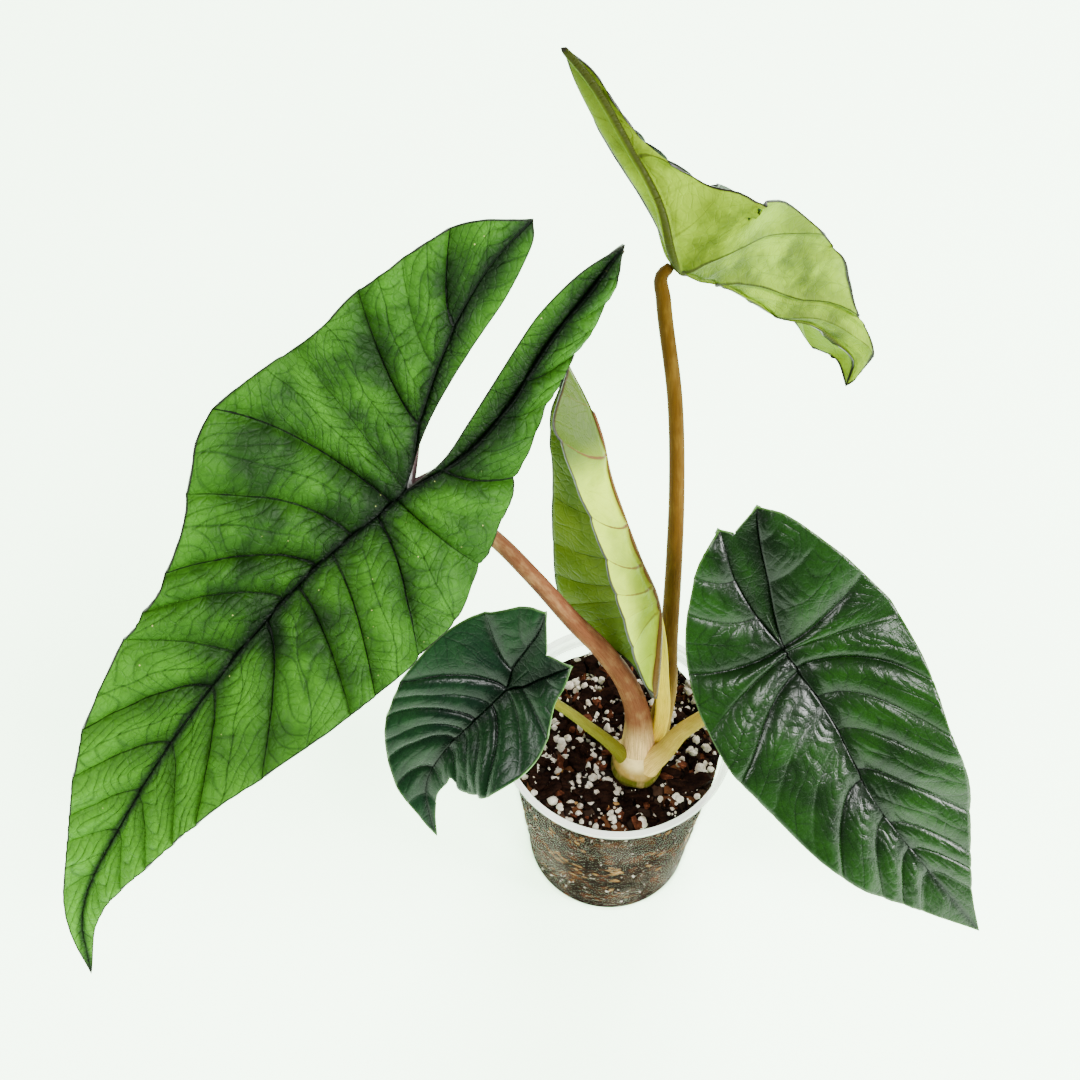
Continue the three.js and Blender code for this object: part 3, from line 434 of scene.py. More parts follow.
def blade_patch(leaf, place, side, per_panel, rows, inner):
    """One patch of a blade between a rib and a margin, bent and quilted."""
    edge = np.array(leaf[side], float)
    rib = leaf["rib_" + side]
    length = edge[-1, 0]
    sign = 1.0 if edge[1, 1] > 0 else -1.0
    q, s, m, joint = half_columns(leaf, side, per_panel)
    veins = np.array(leaf["veins_" + side], float)
    other = "right" if side == "left" else "left"
    _, s_other, _, joint_other = half_columns(leaf, other, per_panel)
    if inner:
        q, s, m = q[:joint + 1], s[:joint + 1], m[:joint + 1]
    piece, x, y = flat_grid(len(q) - 1, rows)
    i = np.round(x * (len(q) - 1)).astype(int)
    v = y ** 1.3
    root = on_curve(rib, np.maximum(-s, 0))
    ends = np.minimum(1, (1 - np.abs(s)) * 5)[i]
    own = q[i]
    if inner:
        start = root[i]
        if leaf.get("fused"):
            both = (s + s_other[joint_other - joint:joint_other + 1]) / 2
            points = np.array(leaf["inner_" + side], float)
            keys = np.arange(len(points)) / (len(points) - 1)
            end = np.stack([np.interp(-both, keys, points[:, k]) for k in (0, 1)], -1)[i]
        else:
            end = on_curve(leaf["inner_" + side], -s)[i]
        flat = start + (end - start) * v[:, None]
        span = np.full(len(i), 30.0)
    else:
        shared = s.copy()
        ahead = np.arange(joint, len(s))
        shared[ahead] = (s[ahead] + s_other[joint_other + ahead - joint]) / 2
        blend = np.clip(v / 0.2, 0, 1)
        blend = blend * blend * (3 - 2 * blend)
        s_here = shared[i] * (1 - blend) + s[i] * blend
        start = np.where((i >= joint)[:, None], np.stack([s_here * length, 0 * s_here], -1), root[i])
        end = through(np.arange(len(edge)), edge, m)[i]
        flat = np.stack([start[:, 0] + (end[:, 0] - start[:, 0]) * v ** leaf["sweep"],
                         start[:, 1] + (end[:, 1] - start[:, 1]) * v], -1)
        here = np.interp(s_here, s, q)
        own = here * (1 - v) + q[i] * v
        rims = through(np.arange(len(edge)), edge, veins[:, 1])
        ahead_feet = np.stack([veins[:, 0] * length, 0 * veins[:, 0]], -1)
        feet = np.where((veins[:, 0] >= 0)[:, None], ahead_feet, on_curve(rib, np.maximum(-veins[:, 0], 0)))
        k = np.clip(np.floor(own).astype(int), 0, len(veins) - 2)
        low = np.linalg.norm(feet[k + 1] - feet[k], axis=1) * 0.75
        high = np.linalg.norm(rims[k + 1] - rims[k], axis=1)
        span = low * (1 - v) + high * v
    reach = np.linalg.norm(end - start, axis=1)
    far = v * reach
    a, b = flat[:, 0], flat[:, 1]
    b = np.where(np.abs(b) < 1e-6, sign * 1e-7, b)
    middle = place(a, b, side)
    step = 0.4
    da = place(a + step, b, side) - place(a - step, b, side)
    db = place(a, b + sign * step, side) - place(a, b, side)
    normal = unit(np.cross(db, da)) * sign
    if inner:
        lift = -leaf["groove"] * (1 - v) ** 2 * ends
        lift = lift + leaf["fine"] * 0.5 * ridge_noise(flat, 0.13, 2.2) * ends * np.clip(far / 6, 0, 1)
        depth = np.zeros(len(i))
    else:
        depth = veins[np.clip(np.round(own).astype(int), 0, len(veins) - 1), 2]
        lift = panel_relief(leaf, own, depth, v, far, span, flat, ends)
    set_points(piece, middle + normal * lift[:, None])
    give_uv(piece, "vein", own, v)
    give_uv(piece, "flat", a / 100, b / 100)
    edge_mm = (1 - v) * reach
    if inner and leaf.get("fused"):
        edge_mm = edge_mm + np.where(np.abs(end[:, 1]) < 0.3, 30, 0)
    numbers = {"rib": far, "edge": edge_mm, "sway": ridge_noise(flat, SWAY_SCALE, SWAY_SEED),
               "span": span, "depth": depth, "tip": (length - a) / length}
    for name, values in numbers.items():
        give_number(piece, name, values)
    return piece, sign


def blade(key, per_panel, rows, thickness, materials):
    leaf = BLADES[key]
    place = posture(leaf)
    patches = []
    for side in ("left", "right"):
        for inner in (False, True):
            deep = max(rows // 4, 6) if inner else rows
            piece, sign = blade_patch(leaf, place, side, per_panel, deep, inner)
            # the grid's own winding is kept on one half and turned on the other
            if (sign > 0) != inner:
                edit(piece, lambda: bpy.ops.mesh.flip_normals())
            patches.append(piece)
    piece = join(patches)
    edit(piece, weld(4e-6))
    count = len(piece.data.vertices)
    rib = get_number(piece, "rib")
    tip = get_number(piece, "tip")
    shell = piece.modifiers.new("shell", "SOLIDIFY")
    shell.thickness = thickness * MM
    shell.offset = 0
    shell.use_even_offset = False
    shell.use_rim = True
    for m in materials:
        piece.data.materials.append(m)
    shell.material_offset = 1
    shell.material_offset_rim = 2
    apply_modifiers(piece)
    # raised ribs under the blade
    co = get_points(piece)
    lower = np.arange(count, 2 * count)
    down = unit(co[lower] - co[:count])
    size = np.clip(tip, 0.06, 1) ** 0.7
    width = 0.3 + 0.85 * leaf["rib"] * size
    ridge = leaf["rib"] * 0.8 * size * np.sqrt(np.clip(1 - (rib / width) ** 2, 0, 1))
    co[lower] += down * ridge[:, None]
    set_points(piece, co)
    smooth(piece)
    return finish_piece(piece, key + "_leaf", key + "_leaf_blade")


# ---- tubes
def tube(line, radius_at, around, along, shape=None, start=0.0, stop=1.0):
    """A closed tube along a line of points; radius_at takes the share of the way, 0 to 1."""
    points = np.array(line, float)
    keys = np.concatenate([[0], np.cumsum(np.linalg.norm(np.diff(points, axis=0), axis=1))])
    keys /= keys[-1]
    piece, x, y = flat_grid(along, around)
    f = start + (stop - start) * x
    rings = np.unique(f)
    centre = through(keys, points, rings)
    ahead = unit(through(keys, points, rings + 0.004) - through(keys, points, rings - 0.004))
    side = np.zeros_like(centre)
    side[0] = unit(np.cross(ahead[0], [0.0, 1.0, 0.0]))
    for i in range(1, len(rings)):
        s = side[i - 1] - ahead[i] * np.dot(side[i - 1], ahead[i])
        side[i] = s / np.linalg.norm(s)
    other = np.cross(ahead, side)
    k = np.searchsorted(rings, f)
    turn = 2 * np.pi * y
    share = (rings[k] - rings[0]) / (rings[-1] - rings[0])
    round_end = np.sqrt(np.clip(1 - (1 - np.clip(share / 0.012, 0, 1)) ** 2, 0, 1))
    round_end *= np.sqrt(np.clip(1 - (1 - np.clip((1 - share) / 0.012, 0, 1)) ** 2, 0, 1))
    r = radius_at(share) * round_end
    if shape is not None:
        r = r * shape(share, turn)
    co = centre[k] + (np.cos(turn) * r)[:, None] * side[k] + (np.sin(turn) * r)[:, None] * other[k]
    set_points(piece, co)
    give_uv(piece, "run", share, y)
    edit(piece, weld(), outward())
    smooth(piece)
    return piece


# ---- materials
class Finish:
    """A node material built up from small steps."""

    def __init__(self, name):
        self.material = bpy.data.materials.new(name)
        self.material.use_nodes = True
        self.tree = self.material.node_tree
        self.tree.nodes.clear()
        self.shader = self.node("BsdfPrincipled")
        self.link(self.shader.outputs[0], self.node("OutputMaterial").inputs[0])

    def node(self, kind, **inputs):
        node = self.tree.nodes.new("ShaderNode" + kind)
        for socket, value in inputs.items():
            self.link(value, node.inputs[socket])
        return node

    def link(self, value, target):
        if isinstance(value, bpy.types.NodeSocket):
            self.tree.links.new(value, target)
        else:
            target.default_value = value

    def put(self, socket, value):
        self.link(value, self.shader.inputs[socket])

    def split(self, value, kind="XYZ"):
        node = self.node("Separate" + kind)
        self.link(value, node.inputs[0])
        return node.outputs

    def uv(self, name):
        node = self.node("UVMap")
        node.uv_map = name
        parts = self.split(node.outputs[0])
        return node.outputs[0], parts[0], parts[1]

    def number(self, name):
        node = self.node("Attribute")
        node.attribute_name = name
        return node.outputs["Fac"]

    def place(self):
        return self.node("TexCoord").outputs["Object"]

    def math(self, how, *values, clamp=False):
        node = self.node("Math")
        node.operation = how
        node.use_clamp = clamp
        for value, target in zip(values, node.inputs):
            self.link(value, target)
        return node.outputs[0]

    def plus(self, a, b, clamp=False):
        return self.math("ADD", a, b, clamp=clamp)

    def minus(self, a, b):
        return self.math("SUBTRACT", a, b)

    def times(self, a, b, clamp=False):
        return self.math("MULTIPLY", a, b, clamp=clamp)

    def fall(self, value, low, high, start=1.0, end=0.0):
        """Smooth change from start to end as the value goes from low to high."""
        node = self.node("MapRange")
        node.interpolation_type = "SMOOTHSTEP"
        for v, target in zip((value, low, high, start, end), node.inputs):
            self.link(v, target)
        return node.outputs[0]

    def rise(self, value, low, high, end=1.0):
        return self.fall(value, low, high, 0.0, end)

    def from_line(self, value):
        """How far a value is from the nearest whole number."""
        return self.math("ABSOLUTE", self.minus(self.math("FRACT", self.plus(value, 0.5)), 0.5))

    def stretch(self, vector, x, y, z=1.0):
        return self.node("Mapping", Vector=vector, Scale=(x, y, z)).outputs[0]

    def noise(self, vector, scale, detail=3.0, rough=0.55):
        node = self.node("TexNoise", Vector=vector, Scale=scale, Detail=detail, Roughness=rough)
        return node.outputs["Fac"]

    def cells(self, vector, scale, feature="DISTANCE_TO_EDGE"):
        node = self.node("TexVoronoi", Vector=vector, Scale=scale)
        node.feature = feature
        return node.outputs["Color" if feature == "F1" else "Distance"]

    def mix(self, share, first, second):
        node = self.node("Mix")
        node.data_type = "RGBA"
        self.link(share, node.inputs[0])
        for value, target in ((first, node.inputs[6]), (second, node.inputs[7])):
            self.link((*value, 1.0) if isinstance(value, tuple) else value, target)
        return node.outputs[2]

    def done(self, colour, rough, height, height_mm, specular=None, ior=None):
        """Sets colour, roughness, relief and sheen, and gives the material."""
        bump = self.node("Bump", Height=height, Strength=1.0, Distance=height_mm * MM)
        self.put("Base Color", colour)
        self.put("Roughness", rough)
        self.put("Normal", bump.outputs[0])
        if specular is not None:
            self.put("Specular IOR Level", specular)
        if ior is not None:
            self.put("IOR", ior)
        return self.material


def leaf_finish(name, deep, bright, light, line, rough, vein_mm=0.7, rib_mm=1.3, halo_shade_tone=0.75, rib_halo_shade_tone_mm=9.0,
                relief=0.5, net=1.0, rim=(0.05, 0.03, 0.03), rim_mm=0.7, spots=0.0, edge_mix=0.5, gloss=0.3,
                vein_halo_shade_tone_mm=8.0, ends=()):
    """Leaf surface: main veins, lesser veins, a fine net and cloudy greens, with dark halos round the veins
    and midrib that are partly darker tone and partly painted shade of the grooves.
    """
    fin = Finish(name)
    _, vein, v = fin.uv("vein")
    flat = fin.uv("flat")[0]
    rib = fin.number("rib")
    edge = fin.number("edge")
    span = fin.number("span")
    depth = fin.number("depth")
    sway = fin.number("sway")
    tip = fin.number("tip")
    # main veins and midrib, with dark halos round them: partly the leaf's darker green, partly painted
    # shade of the grooves
    off = fin.times(fin.from_line(vein), span)
    jitter = fin.times(fin.minus(fin.noise(flat, 26.0, 2.0), 0.5), 0.7)
    thin = fin.math("ABSOLUTE", fin.plus(off, jitter))
    wide = fin.times(fin.minus(1.25, v), vein_mm)
    wide = fin.times(wide, fin.plus(0.25, fin.times(depth, 0.75)))
    main = fin.times(fin.fall(thin, fin.times(wide, 0.2), wide), depth)
    vein_halo_shade_tone = fin.times(fin.fall(off, 0.0, vein_halo_shade_tone_mm), depth)
    taper = fin.plus(0.35, fin.times(fin.rise(tip, 0.0, 0.9), 0.65))
    rib_line = fin.times(taper, rib_mm)
    ribs = fin.fall(rib, fin.times(rib_line, 0.35), rib_line)
    rib_halo_shade_tone = fin.fall(rib, 0.0, fin.times(taper, rib_halo_shade_tone_mm))
    lines = fin.math("MAXIMUM", main, ribs)
    # lesser vein in mid panel, slanting cross veins, and a warped net of small ones
    middle = fin.plus(fin.times(sway, MID_SWAY), 0.5)
    near = fin.times(fin.math("ABSOLUTE", fin.minus(fin.math("FRACT", vein), middle)), span)
    lane = fin.times(fin.fall(near, 0.0, 0.7), fin.rise(span, *WIDE_PANEL))
    slant = fin.math("DIVIDE", fin.minus(rib, fin.times(off, CROSS_SLANT)), CROSS_PITCH)
    slant = fin.plus(slant, fin.times(sway, CROSS_SWAY))
    slant = fin.from_line(fin.plus(slant, fin.times(fin.noise(flat, 5.0, 2.0), 0.12)))
    side = fin.times(fin.fall(slant, 0.0, 0.13), fin.fall(off, 0.5, 4.0, 0.4, 1.0))
    shift = fin.node("TexNoise", Vector=flat, Scale=9.0).outputs["Color"]
    warp = fin.node("VectorMath")
    warp.operation = "MULTIPLY_ADD"
    for value, target in zip((shift, (0.06, 0.06, 0.0), flat), warp.inputs):
        fin.link(value, target)
    net_line = fin.fall(fin.cells(warp.outputs[0], 30.0), 0.0, 0.14)
    fine_line = fin.fall(fin.cells(warp.outputs[0], 85.0), 0.0, 0.2)
    # colour
    cloud = fin.noise(flat, 3.2, 4.0, 0.6)
    grain = fin.noise(flat, 70.0, 3.0, 0.6)
    colour = fin.mix(fin.rise(cloud, 0.36, 0.64), bright, light)
    colour = fin.mix(fin.times(fin.fall(edge, 0.0, 14.0), edge_mix), colour, light)
    for shade, start, full in ends:
        colour = fin.mix(fin.rise(tip, start, full), colour, shade)
    for mark, share in ((lane, 0.5), (side, 0.4), (net_line, 0.14), (fine_line, 0.08)):
        colour = fin.mix(fin.times(mark, share * net), colour, deep)
    # the halos pull the colour toward deep: partly real darker tone near the veins, partly painted shade
    dark = fin.times(vein_halo_shade_tone, fin.minus(1.0, fin.times(v, 0.7)))
    dark = fin.math("MAXIMUM", rib_halo_shade_tone, dark)
    dark = fin.times(dark, fin.fall(grain, 0.2, 0.8, 0.85, 1.1))
    colour = fin.mix(fin.times(dark, halo_shade_tone, clamp=True), colour, deep)
    if spots > 0:
        seeds = fin.node("TexVoronoi", Vector=flat, Scale=22.0)
        small = fin.fall(seeds.outputs["Distance"], 0.03, 0.08)
        few = fin.rise(fin.split(seeds.outputs["Color"], "Color")[0], 0.8, 0.86)
        colour = fin.mix(fin.times(fin.times(small, few), spots), colour, (0.30, 0.34, 0.10))
    colour = fin.mix(fin.times(lines, 0.95), colour, line)
    colour = fin.mix(fin.fall(edge, rim_mm * 0.5, rim_mm), colour, rim)
    rough = fin.plus(rough, fin.times(fin.minus(grain, 0.5), 0.16))
    height = fin.times(cloud, 0.8)
    for mark, drop in ((lines, 0.7), (lane, 0.45), (side, 0.3), (net_line, 0.4), (fine_line, 0.12)):
        height = fin.minus(height, fin.times(mark, drop))
    return fin.done(colour, rough, height, relief, gloss)


def rim_finish(name, colour):
    fin = Finish(name)
    flat, _, _ = fin.uv("flat")
    shade = fin.noise(flat, 20.0, 3.0)
    return fin.done(fin.mix(shade, colour, tuple(c * 2.2 for c in colour)), 0.45, shade, 0.1)


def stalk_finish(name, low, mid, high, streak, blend=(0.0, 0.2)):
    """Petiole skin: colour from base to top, fine lengthwise streaks and freckles."""
    fin = Finish(name)
    run, along, _ = fin.uv("run")
    base = fin.mix(fin.rise(along, blend[0], blend[1]), low, mid)
    base = fin.mix(fin.rise(along, 0.3, 0.95), base, high)
    fibres = fin.noise(fin.stretch(run, 3.0, 26.0), 4.0, 4.0, 0.65)
    freckle = fin.noise(fin.stretch(run, 60.0, 14.0), 4.0, 2.0, 0.5)
    blotch = fin.noise(fin.stretch(run, 8.0, 2.5), 2.0, 3.0, 0.6)
    colour = fin.mix(fin.rise(fibres, 0.38, 0.68, 0.6), base, streak)
    colour = fin.mix(fin.rise(freckle, 0.6, 0.7, 0.35), colour, streak)
    colour = fin.mix(fin.rise(blotch, 0.45, 0.75, 0.12), colour, low)
    rough = fin.plus(0.42, fin.times(fibres, 0.12))
    return fin.done(colour, rough, fin.plus(fibres, fin.times(freckle, 0.4)), 0.35, 0.2, 1.12)


MARGIN = rim_finish("leaf_margin", (0.008, 0.008, 0.005))
GREEN_MARGIN = rim_finish("pale_margin", (0.03, 0.08, 0.012))
PALE = dict(relief=0.3, net=0.5, halo_shade_tone=0.3, vein_mm=0.6, rib_mm=1.1, gloss=0.15)
# the halo strengths and widths in these calls set the dark halos round veins and midrib: partly darker
# tone, partly painted shade
LEAVES = {
    "big": [
        leaf_finish("big_upper", (0.0007, 0.0045, 0.0004), (0.0055, 0.024, 0.0016), (0.027, 0.108, 0.005),
                    (0.0005, 0.0018, 0.0005), 0.5, vein_mm=0.9, rib_mm=1.6, halo_shade_tone=1.0, rib_halo_shade_tone_mm=15,
                    spots=0.7, gloss=0.06, vein_halo_shade_tone_mm=13, rim=(0.006, 0.008, 0.004),
                    ends=(((0.046, 0.170, 0.008), 0.70, 0.20),)),
        leaf_finish("big_under", (0.05, 0.08, 0.02), (0.09, 0.15, 0.04), (0.12, 0.19, 0.05),
                    (0.07, 0.04, 0.02), 0.5, **PALE),
        MARGIN],
    "right": [
        leaf_finish("right_upper", (0.0005, 0.0028, 0.0005), (0.002, 0.009, 0.0012), (0.0055, 0.027, 0.002),
                    (0.0004, 0.0015, 0.0005), 0.27, relief=0.10, vein_mm=0.6, rib_mm=1.1, halo_shade_tone=0.9,
                    rib_halo_shade_tone_mm=16, rim=(0.02, 0.05, 0.008), gloss=0.16, vein_halo_shade_tone_mm=7),
        leaf_finish("right_under", (0.04, 0.07, 0.02), (0.07, 0.12, 0.035), (0.10, 0.16, 0.05),
                    (0.05, 0.04, 0.02), 0.5, **PALE),
        GREEN_MARGIN],
    "small": [
        leaf_finish("small_upper", (0.0007, 0.0028, 0.0014), (0.0022, 0.009, 0.0045), (0.005, 0.022, 0.006),
                    (0.0005, 0.0015, 0.0008), 0.27, relief=0.09, vein_mm=0.5, rib_mm=0.9, halo_shade_tone=0.85,
                    rib_halo_shade_tone_mm=9, rim=(0.02, 0.05, 0.012), gloss=0.11, vein_halo_shade_tone_mm=5),
        leaf_finish("small_under", (0.04, 0.06, 0.02), (0.07, 0.11, 0.04), (0.09, 0.14, 0.05),
                    (0.05, 0.04, 0.02), 0.5, **PALE),
        GREEN_MARGIN],
    "tall": [
        leaf_finish("tall_upper", (0.0006, 0.003, 0.0006), (0.0025, 0.011, 0.002), (0.006, 0.026, 0.003),
                    (0.0005, 0.002, 0.001), 0.4, halo_shade_tone=0.6, gloss=0.12, relief=0.15,
                    rim=(0.004, 0.006, 0.003)),
        leaf_finish("tall_under", (0.030, 0.052, 0.001), (0.034, 0.058, 0.0008), (0.150, 0.240, 0.003),
                    (0.016, 0.020, 0.001), 0.5, vein_mm=1.0, rib_mm=0.8, halo_shade_tone=0.5, relief=0.3, net=0.35,
                    rim=(0.006, 0.005, 0.002), rim_mm=1.0, gloss=0.06, edge_mix=0.3,
                    ends=(((0.055, 0.09, 0.003), 1.25, 1.62),)),
        MARGIN],
    "young": [
        leaf_finish("young_upper", (0.014, 0.040, 0.0002), (0.042, 0.082, 0.0003), (0.072, 0.120, 0.0004),
                    (0.010, 0.022, 0.002), 0.42, halo_shade_tone=0.25, relief=0.3, net=0.4, gloss=0.15,
                    rim=(0.006, 0.010, 0.002)),
        leaf_finish("young_under", (0.10, 0.15, 0.006), (0.18, 0.26, 0.004), (0.34, 0.45, 0.010),
                    (0.075, 0.024, 0.006), 0.46, vein_mm=0.8, rib_mm=2.6, halo_shade_tone=0.2, relief=0.2, net=0.15,
                    rim=(0.03, 0.022, 0.008), gloss=0.1, ends=(((0.034, 0.060, 0.005), 0.46, 0.27),)),
        MARGIN],
}
STALKS = {
    "big": stalk_finish("big_stalk", (0.80, 0.52, 0.20), (0.16, 0.056, 0.024), (0.070, 0.030, 0.012),
                        (0.050, 0.014, 0.006), blend=(0.03, 0.13)),
    "tall": stalk_finish("tall_stalk", (0.34, 0.22, 0.04), (0.105, 0.050, 0.007), (0.050, 0.026, 0.0015),
                         (0.035, 0.012, 0.001)),
    "right": stalk_finish("right_stalk", (0.70, 0.46, 0.12), (0.28, 0.20, 0.025), (0.18, 0.15, 0.012),
                          (0.12, 0.05, 0.012)),
    "young": stalk_finish("young_stalk", (0.80, 0.52, 0.05), (0.74, 0.50, 0.03), (0.58, 0.46, 0.02),
                          (0.16, 0.12, 0.008)),
    "small": stalk_finish("small_stalk", (0.17, 0.145, 0.015), (0.14, 0.125, 0.012), (0.11, 0.11, 0.010),
                          (0.035, 0.028, 0.005)),
}

BLADE_THICKNESS = 0.9
# columns in each panel and rows of each blade's grid
GRIDS = {"big": (18, 52), "right": (18, 42), "small": (14, 32), "tall": (18, 36), "young": (14, 28)}
for key, (per_panel, rows) in GRIDS.items():
    blade(key, per_panel, rows, BLADE_THICKNESS, LEAVES[key])

STALK_AROUND = 28
STALK_ALONG = 90
STALK_START = 0.02
STALK_STOP = 0.985
STALK_STOPS = {"big": 0.975, "right": 0.96, "small": 0.975}
for key, (line, base, top, flare) in PETIOLES.items():
    def radius(share, base=base, top=top, flare=flare):
        narrow = np.clip((share - 0.9) / 0.1, 0, 1)
        wide = top + (base - top) * (1 - share) ** 2.2 + flare * (1 - share) ** 14
        return wide * (1 - 0.35 * narrow * narrow)
    stop = STALK_STOPS.get(key, STALK_STOP)
    stalk = tube(line, radius, STALK_AROUND, STALK_ALONG, start=STALK_START, stop=stop)
    finish_piece(stalk, key + "_stalk", key + "_leaf_petiole", STALKS[key])


# ---- stem
def stem_finish():
    fin = Finish("stem_skin")
    where = fin.place()
    z = fin.split(where)[2]
    mottle = fin.noise(where, 160.0, 4.0, 0.6)
    z = fin.plus(z, fin.times(fin.minus(mottle, 0.5), 0.004))
    colour = fin.mix(fin.rise(z, 0.1090, 0.1125), (0.070, 0.072, 0.005), (0.26, 0.16, 0.032))
    colour = fin.mix(fin.rise(z, 0.1145, 0.1215), colour, (0.86, 0.65, 0.27))
    streak = fin.noise(fin.stretch(where, 400.0, 400.0, 60.0), 1.0, 3.0)
    colour = fin.mix(fin.rise(streak, 0.45, 0.75, 0.45), colour, (0.40, 0.25, 0.10))
    return fin.done(colour, 0.42, fin.plus(streak, mottle), 0.4, 0.25, 1.15)


# share of the way up and radius, mm
TRUNK_PROFILE = np.array([[0, 8], [0.16, 9.6], [0.5, 10], [0.66, 10.6], [0.72, 11.3], [0.78, 10.6],
                          [0.84, 10.9], [0.9, 9.6], [0.95, 7.6], [0.985, 5], [1, 3.6]])
TRUNK_FOOT = 68.3


def trunk_radius(share):
    return through(TRUNK_PROFILE[:, 0], TRUNK_PROFILE[:, 1], share)


def trunk_shape(share, turn):
    return 1 + 0.03 * np.cos(3 * turn + 9 * share) + 0.02 * np.cos(5 * turn - 4 * share)


trunk_line = [[STEM_X, STEM_Y, z] for z in (TRUNK_FOOT, 90, SOIL_TOP, STEM_TOP - 0.2)]
trunk = tube(trunk_line, trunk_radius, 48, 60, trunk_shape)
finish_piece(trunk, "trunk", "stem", stem_finish())


# ---- pot
def pot_finish():
    """Clear thin plastic: a faint mist on the wall, milky at the rim with two brighter edges."""
    fin = Finish("clear_pot")
    where = fin.place()
    z = fin.split(where)[2]
    mist = fin.noise(fin.stretch(where, 1.0, 1.0, 0.45), 45.0, 4.0, 0.6)
    scratch = fin.noise(fin.stretch(where, 1.0, 1.0, 9.0), 180.0, 3.0, 0.6)
    under = POT_HEIGHT - RIM_DEPTH
    rim = fin.rise(z, (under - 1.5) * MM, (under + 0.5) * MM)
    foot = fin.times(fin.fall(z, 0.0005, 0.004), 0.12)
    milk = fin.math("MAXIMUM", rim, foot)
    wall = fin.mix(fin.rise(mist, 0.45, 0.75), (0.060, 0.040, 0.034), (0.16, 0.115, 0.105))
    colour = fin.mix(milk, wall, (0.80, 0.84, 0.76))
    clear = fin.fall(mist, 0.4, 0.8, 0.06, 0.17)
    crest = fin.rise(z, (POT_HEIGHT - 1.1) * MM, (POT_HEIGHT - 0.5) * MM)
    shelf = fin.fall(z, (under + 0.4) * MM, (under + 1.4) * MM)
    bright = fin.times(fin.math("MAXIMUM", crest, shelf), fin.times(rim, 0.35))
    veil = fin.plus(fin.times(milk, 0.22), bright)
    fin.put("Alpha", fin.plus(clear, veil, clamp=True))
    rough = fin.plus(0.12, fin.times(mist, 0.2))
    return fin.done(colour, rough, fin.plus(mist, fin.times(scratch, 0.2)), 0.12, 0.1, 1.1)


def wall_inside(z):
    return BASE_RADIUS - WALL + (RIM_RADIUS - RIM_LIP - BASE_RADIUS) * z / (POT_HEIGHT - RIM_DEPTH)


def turned(profile, around):
    """A closed profile (radius, height) turned round the pot's axis."""
    profile = np.array(profile + [profile[0]], float)
    piece, x, y = flat_grid(len(profile) - 1, around)
    k = np.round(x * (len(profile) - 1)).astype(int)
    r, z = profile[k, 0], profile[k, 1]
    turn = 2 * np.pi * y
    set_points(piece, np.stack([r * np.cos(turn), r * np.sin(turn), z], -1))
    edit(piece, weld(), lambda: bpy.ops.mesh.delete_loose(), outward())
    return piece


step = POT_HEIGHT - RIM_DEPTH
outer = RIM_RADIUS - RIM_LIP
pot_profile = [
    (0, 1.0), (30, 1.0), (31.2, 0.05),
    (BASE_RADIUS - 1.6, 0), (BASE_RADIUS - 0.5, 0.35), (BASE_RADIUS, 1.3),
    (outer - 4.6, 54), (outer - 0.1, step - 0.6), (outer + 0.35, step + 0.2), (outer + 1.1, step + 0.7),
    (outer + 1.35, step + 1.2), (outer + 1.45, POT_HEIGHT - 2.6), (outer + 1.8, POT_HEIGHT - 1.9),
    (RIM_RADIUS - 0.3, POT_HEIGHT - 1.6), (RIM_RADIUS, POT_HEIGHT - 1.3), (RIM_RADIUS, POT_HEIGHT - 0.4),
    (RIM_RADIUS - 0.4, POT_HEIGHT), (outer + 0.5, POT_HEIGHT), (outer + 0.1, POT_HEIGHT - 0.3),
    (outer, step + 1.7), (outer - WALL, step), (wall_inside(60), 60), (wall_inside(3), 3),
    (wall_inside(FLOOR) - 1.2, FLOOR), (0, FLOOR)]
pot = turned(pot_profile, 144)
DRAIN_SLOTS = 8
SLOT_SIZE = (0.012, 0.005, 0.006)
SLOT_Z = 0.0016
cutters = []
for i in range(DRAIN_SLOTS):
    turn = 2 * math.pi * (i + 0.5) / DRAIN_SLOTS
    bpy.ops.object.select_all(action="DESELECT")
    bpy.ops.mesh.primitive_cube_add(size=1, location=(0, 0, 0))
    cutter = bpy.context.active_object
    cutter.scale = SLOT_SIZE
    cutter.rotation_euler = (0, 0, turn)
    cutter.location = (BASE_RADIUS * MM * math.cos(turn), BASE_RADIUS * MM * math.sin(turn), SLOT_Z)
    bpy.ops.object.transform_apply(location=True, rotation=True, scale=True)
    cutters.append(cutter)
cutter = join(cutters)
slots = pot.modifiers.new("drain", "BOOLEAN")
slots.operation = "DIFFERENCE"
slots.solver = "EXACT"
slots.object = cutter
apply_modifiers(pot)
bpy.data.objects.remove(cutter)
smooth(pot, 35)
finish_piece(pot, "clear_pot", "pot", pot_finish())


# ---- potting mix
def mix_finish():
    fin = Finish("bark_mix")
    where = fin.place()
    chunk = fin.split(fin.cells(where, 210.0, "F1"), "Color")
    edge = fin.cells(where, 210.0)
    grain = fin.noise(where, 700.0, 4.0, 0.7)
    colour = fin.mix(fin.rise(chunk[0], 0.2, 0.9), (0.006, 0.004, 0.003), (0.030, 0.016, 0.010))
    colour = fin.mix(fin.rise(chunk[1], 0.8, 0.88), colour, (0.06, 0.022, 0.009))
    colour = fin.mix(fin.fall(edge, 0.0, 0.16), colour, (0.0015, 0.001, 0.001))
    colour = fin.mix(fin.rise(grain, 0.5, 0.8, 0.4), colour, (0.04, 0.022, 0.012))
    return fin.done(colour, 0.85, fin.plus(edge, fin.times(grain, 0.3)), 1.2, 0.02, 1.02)


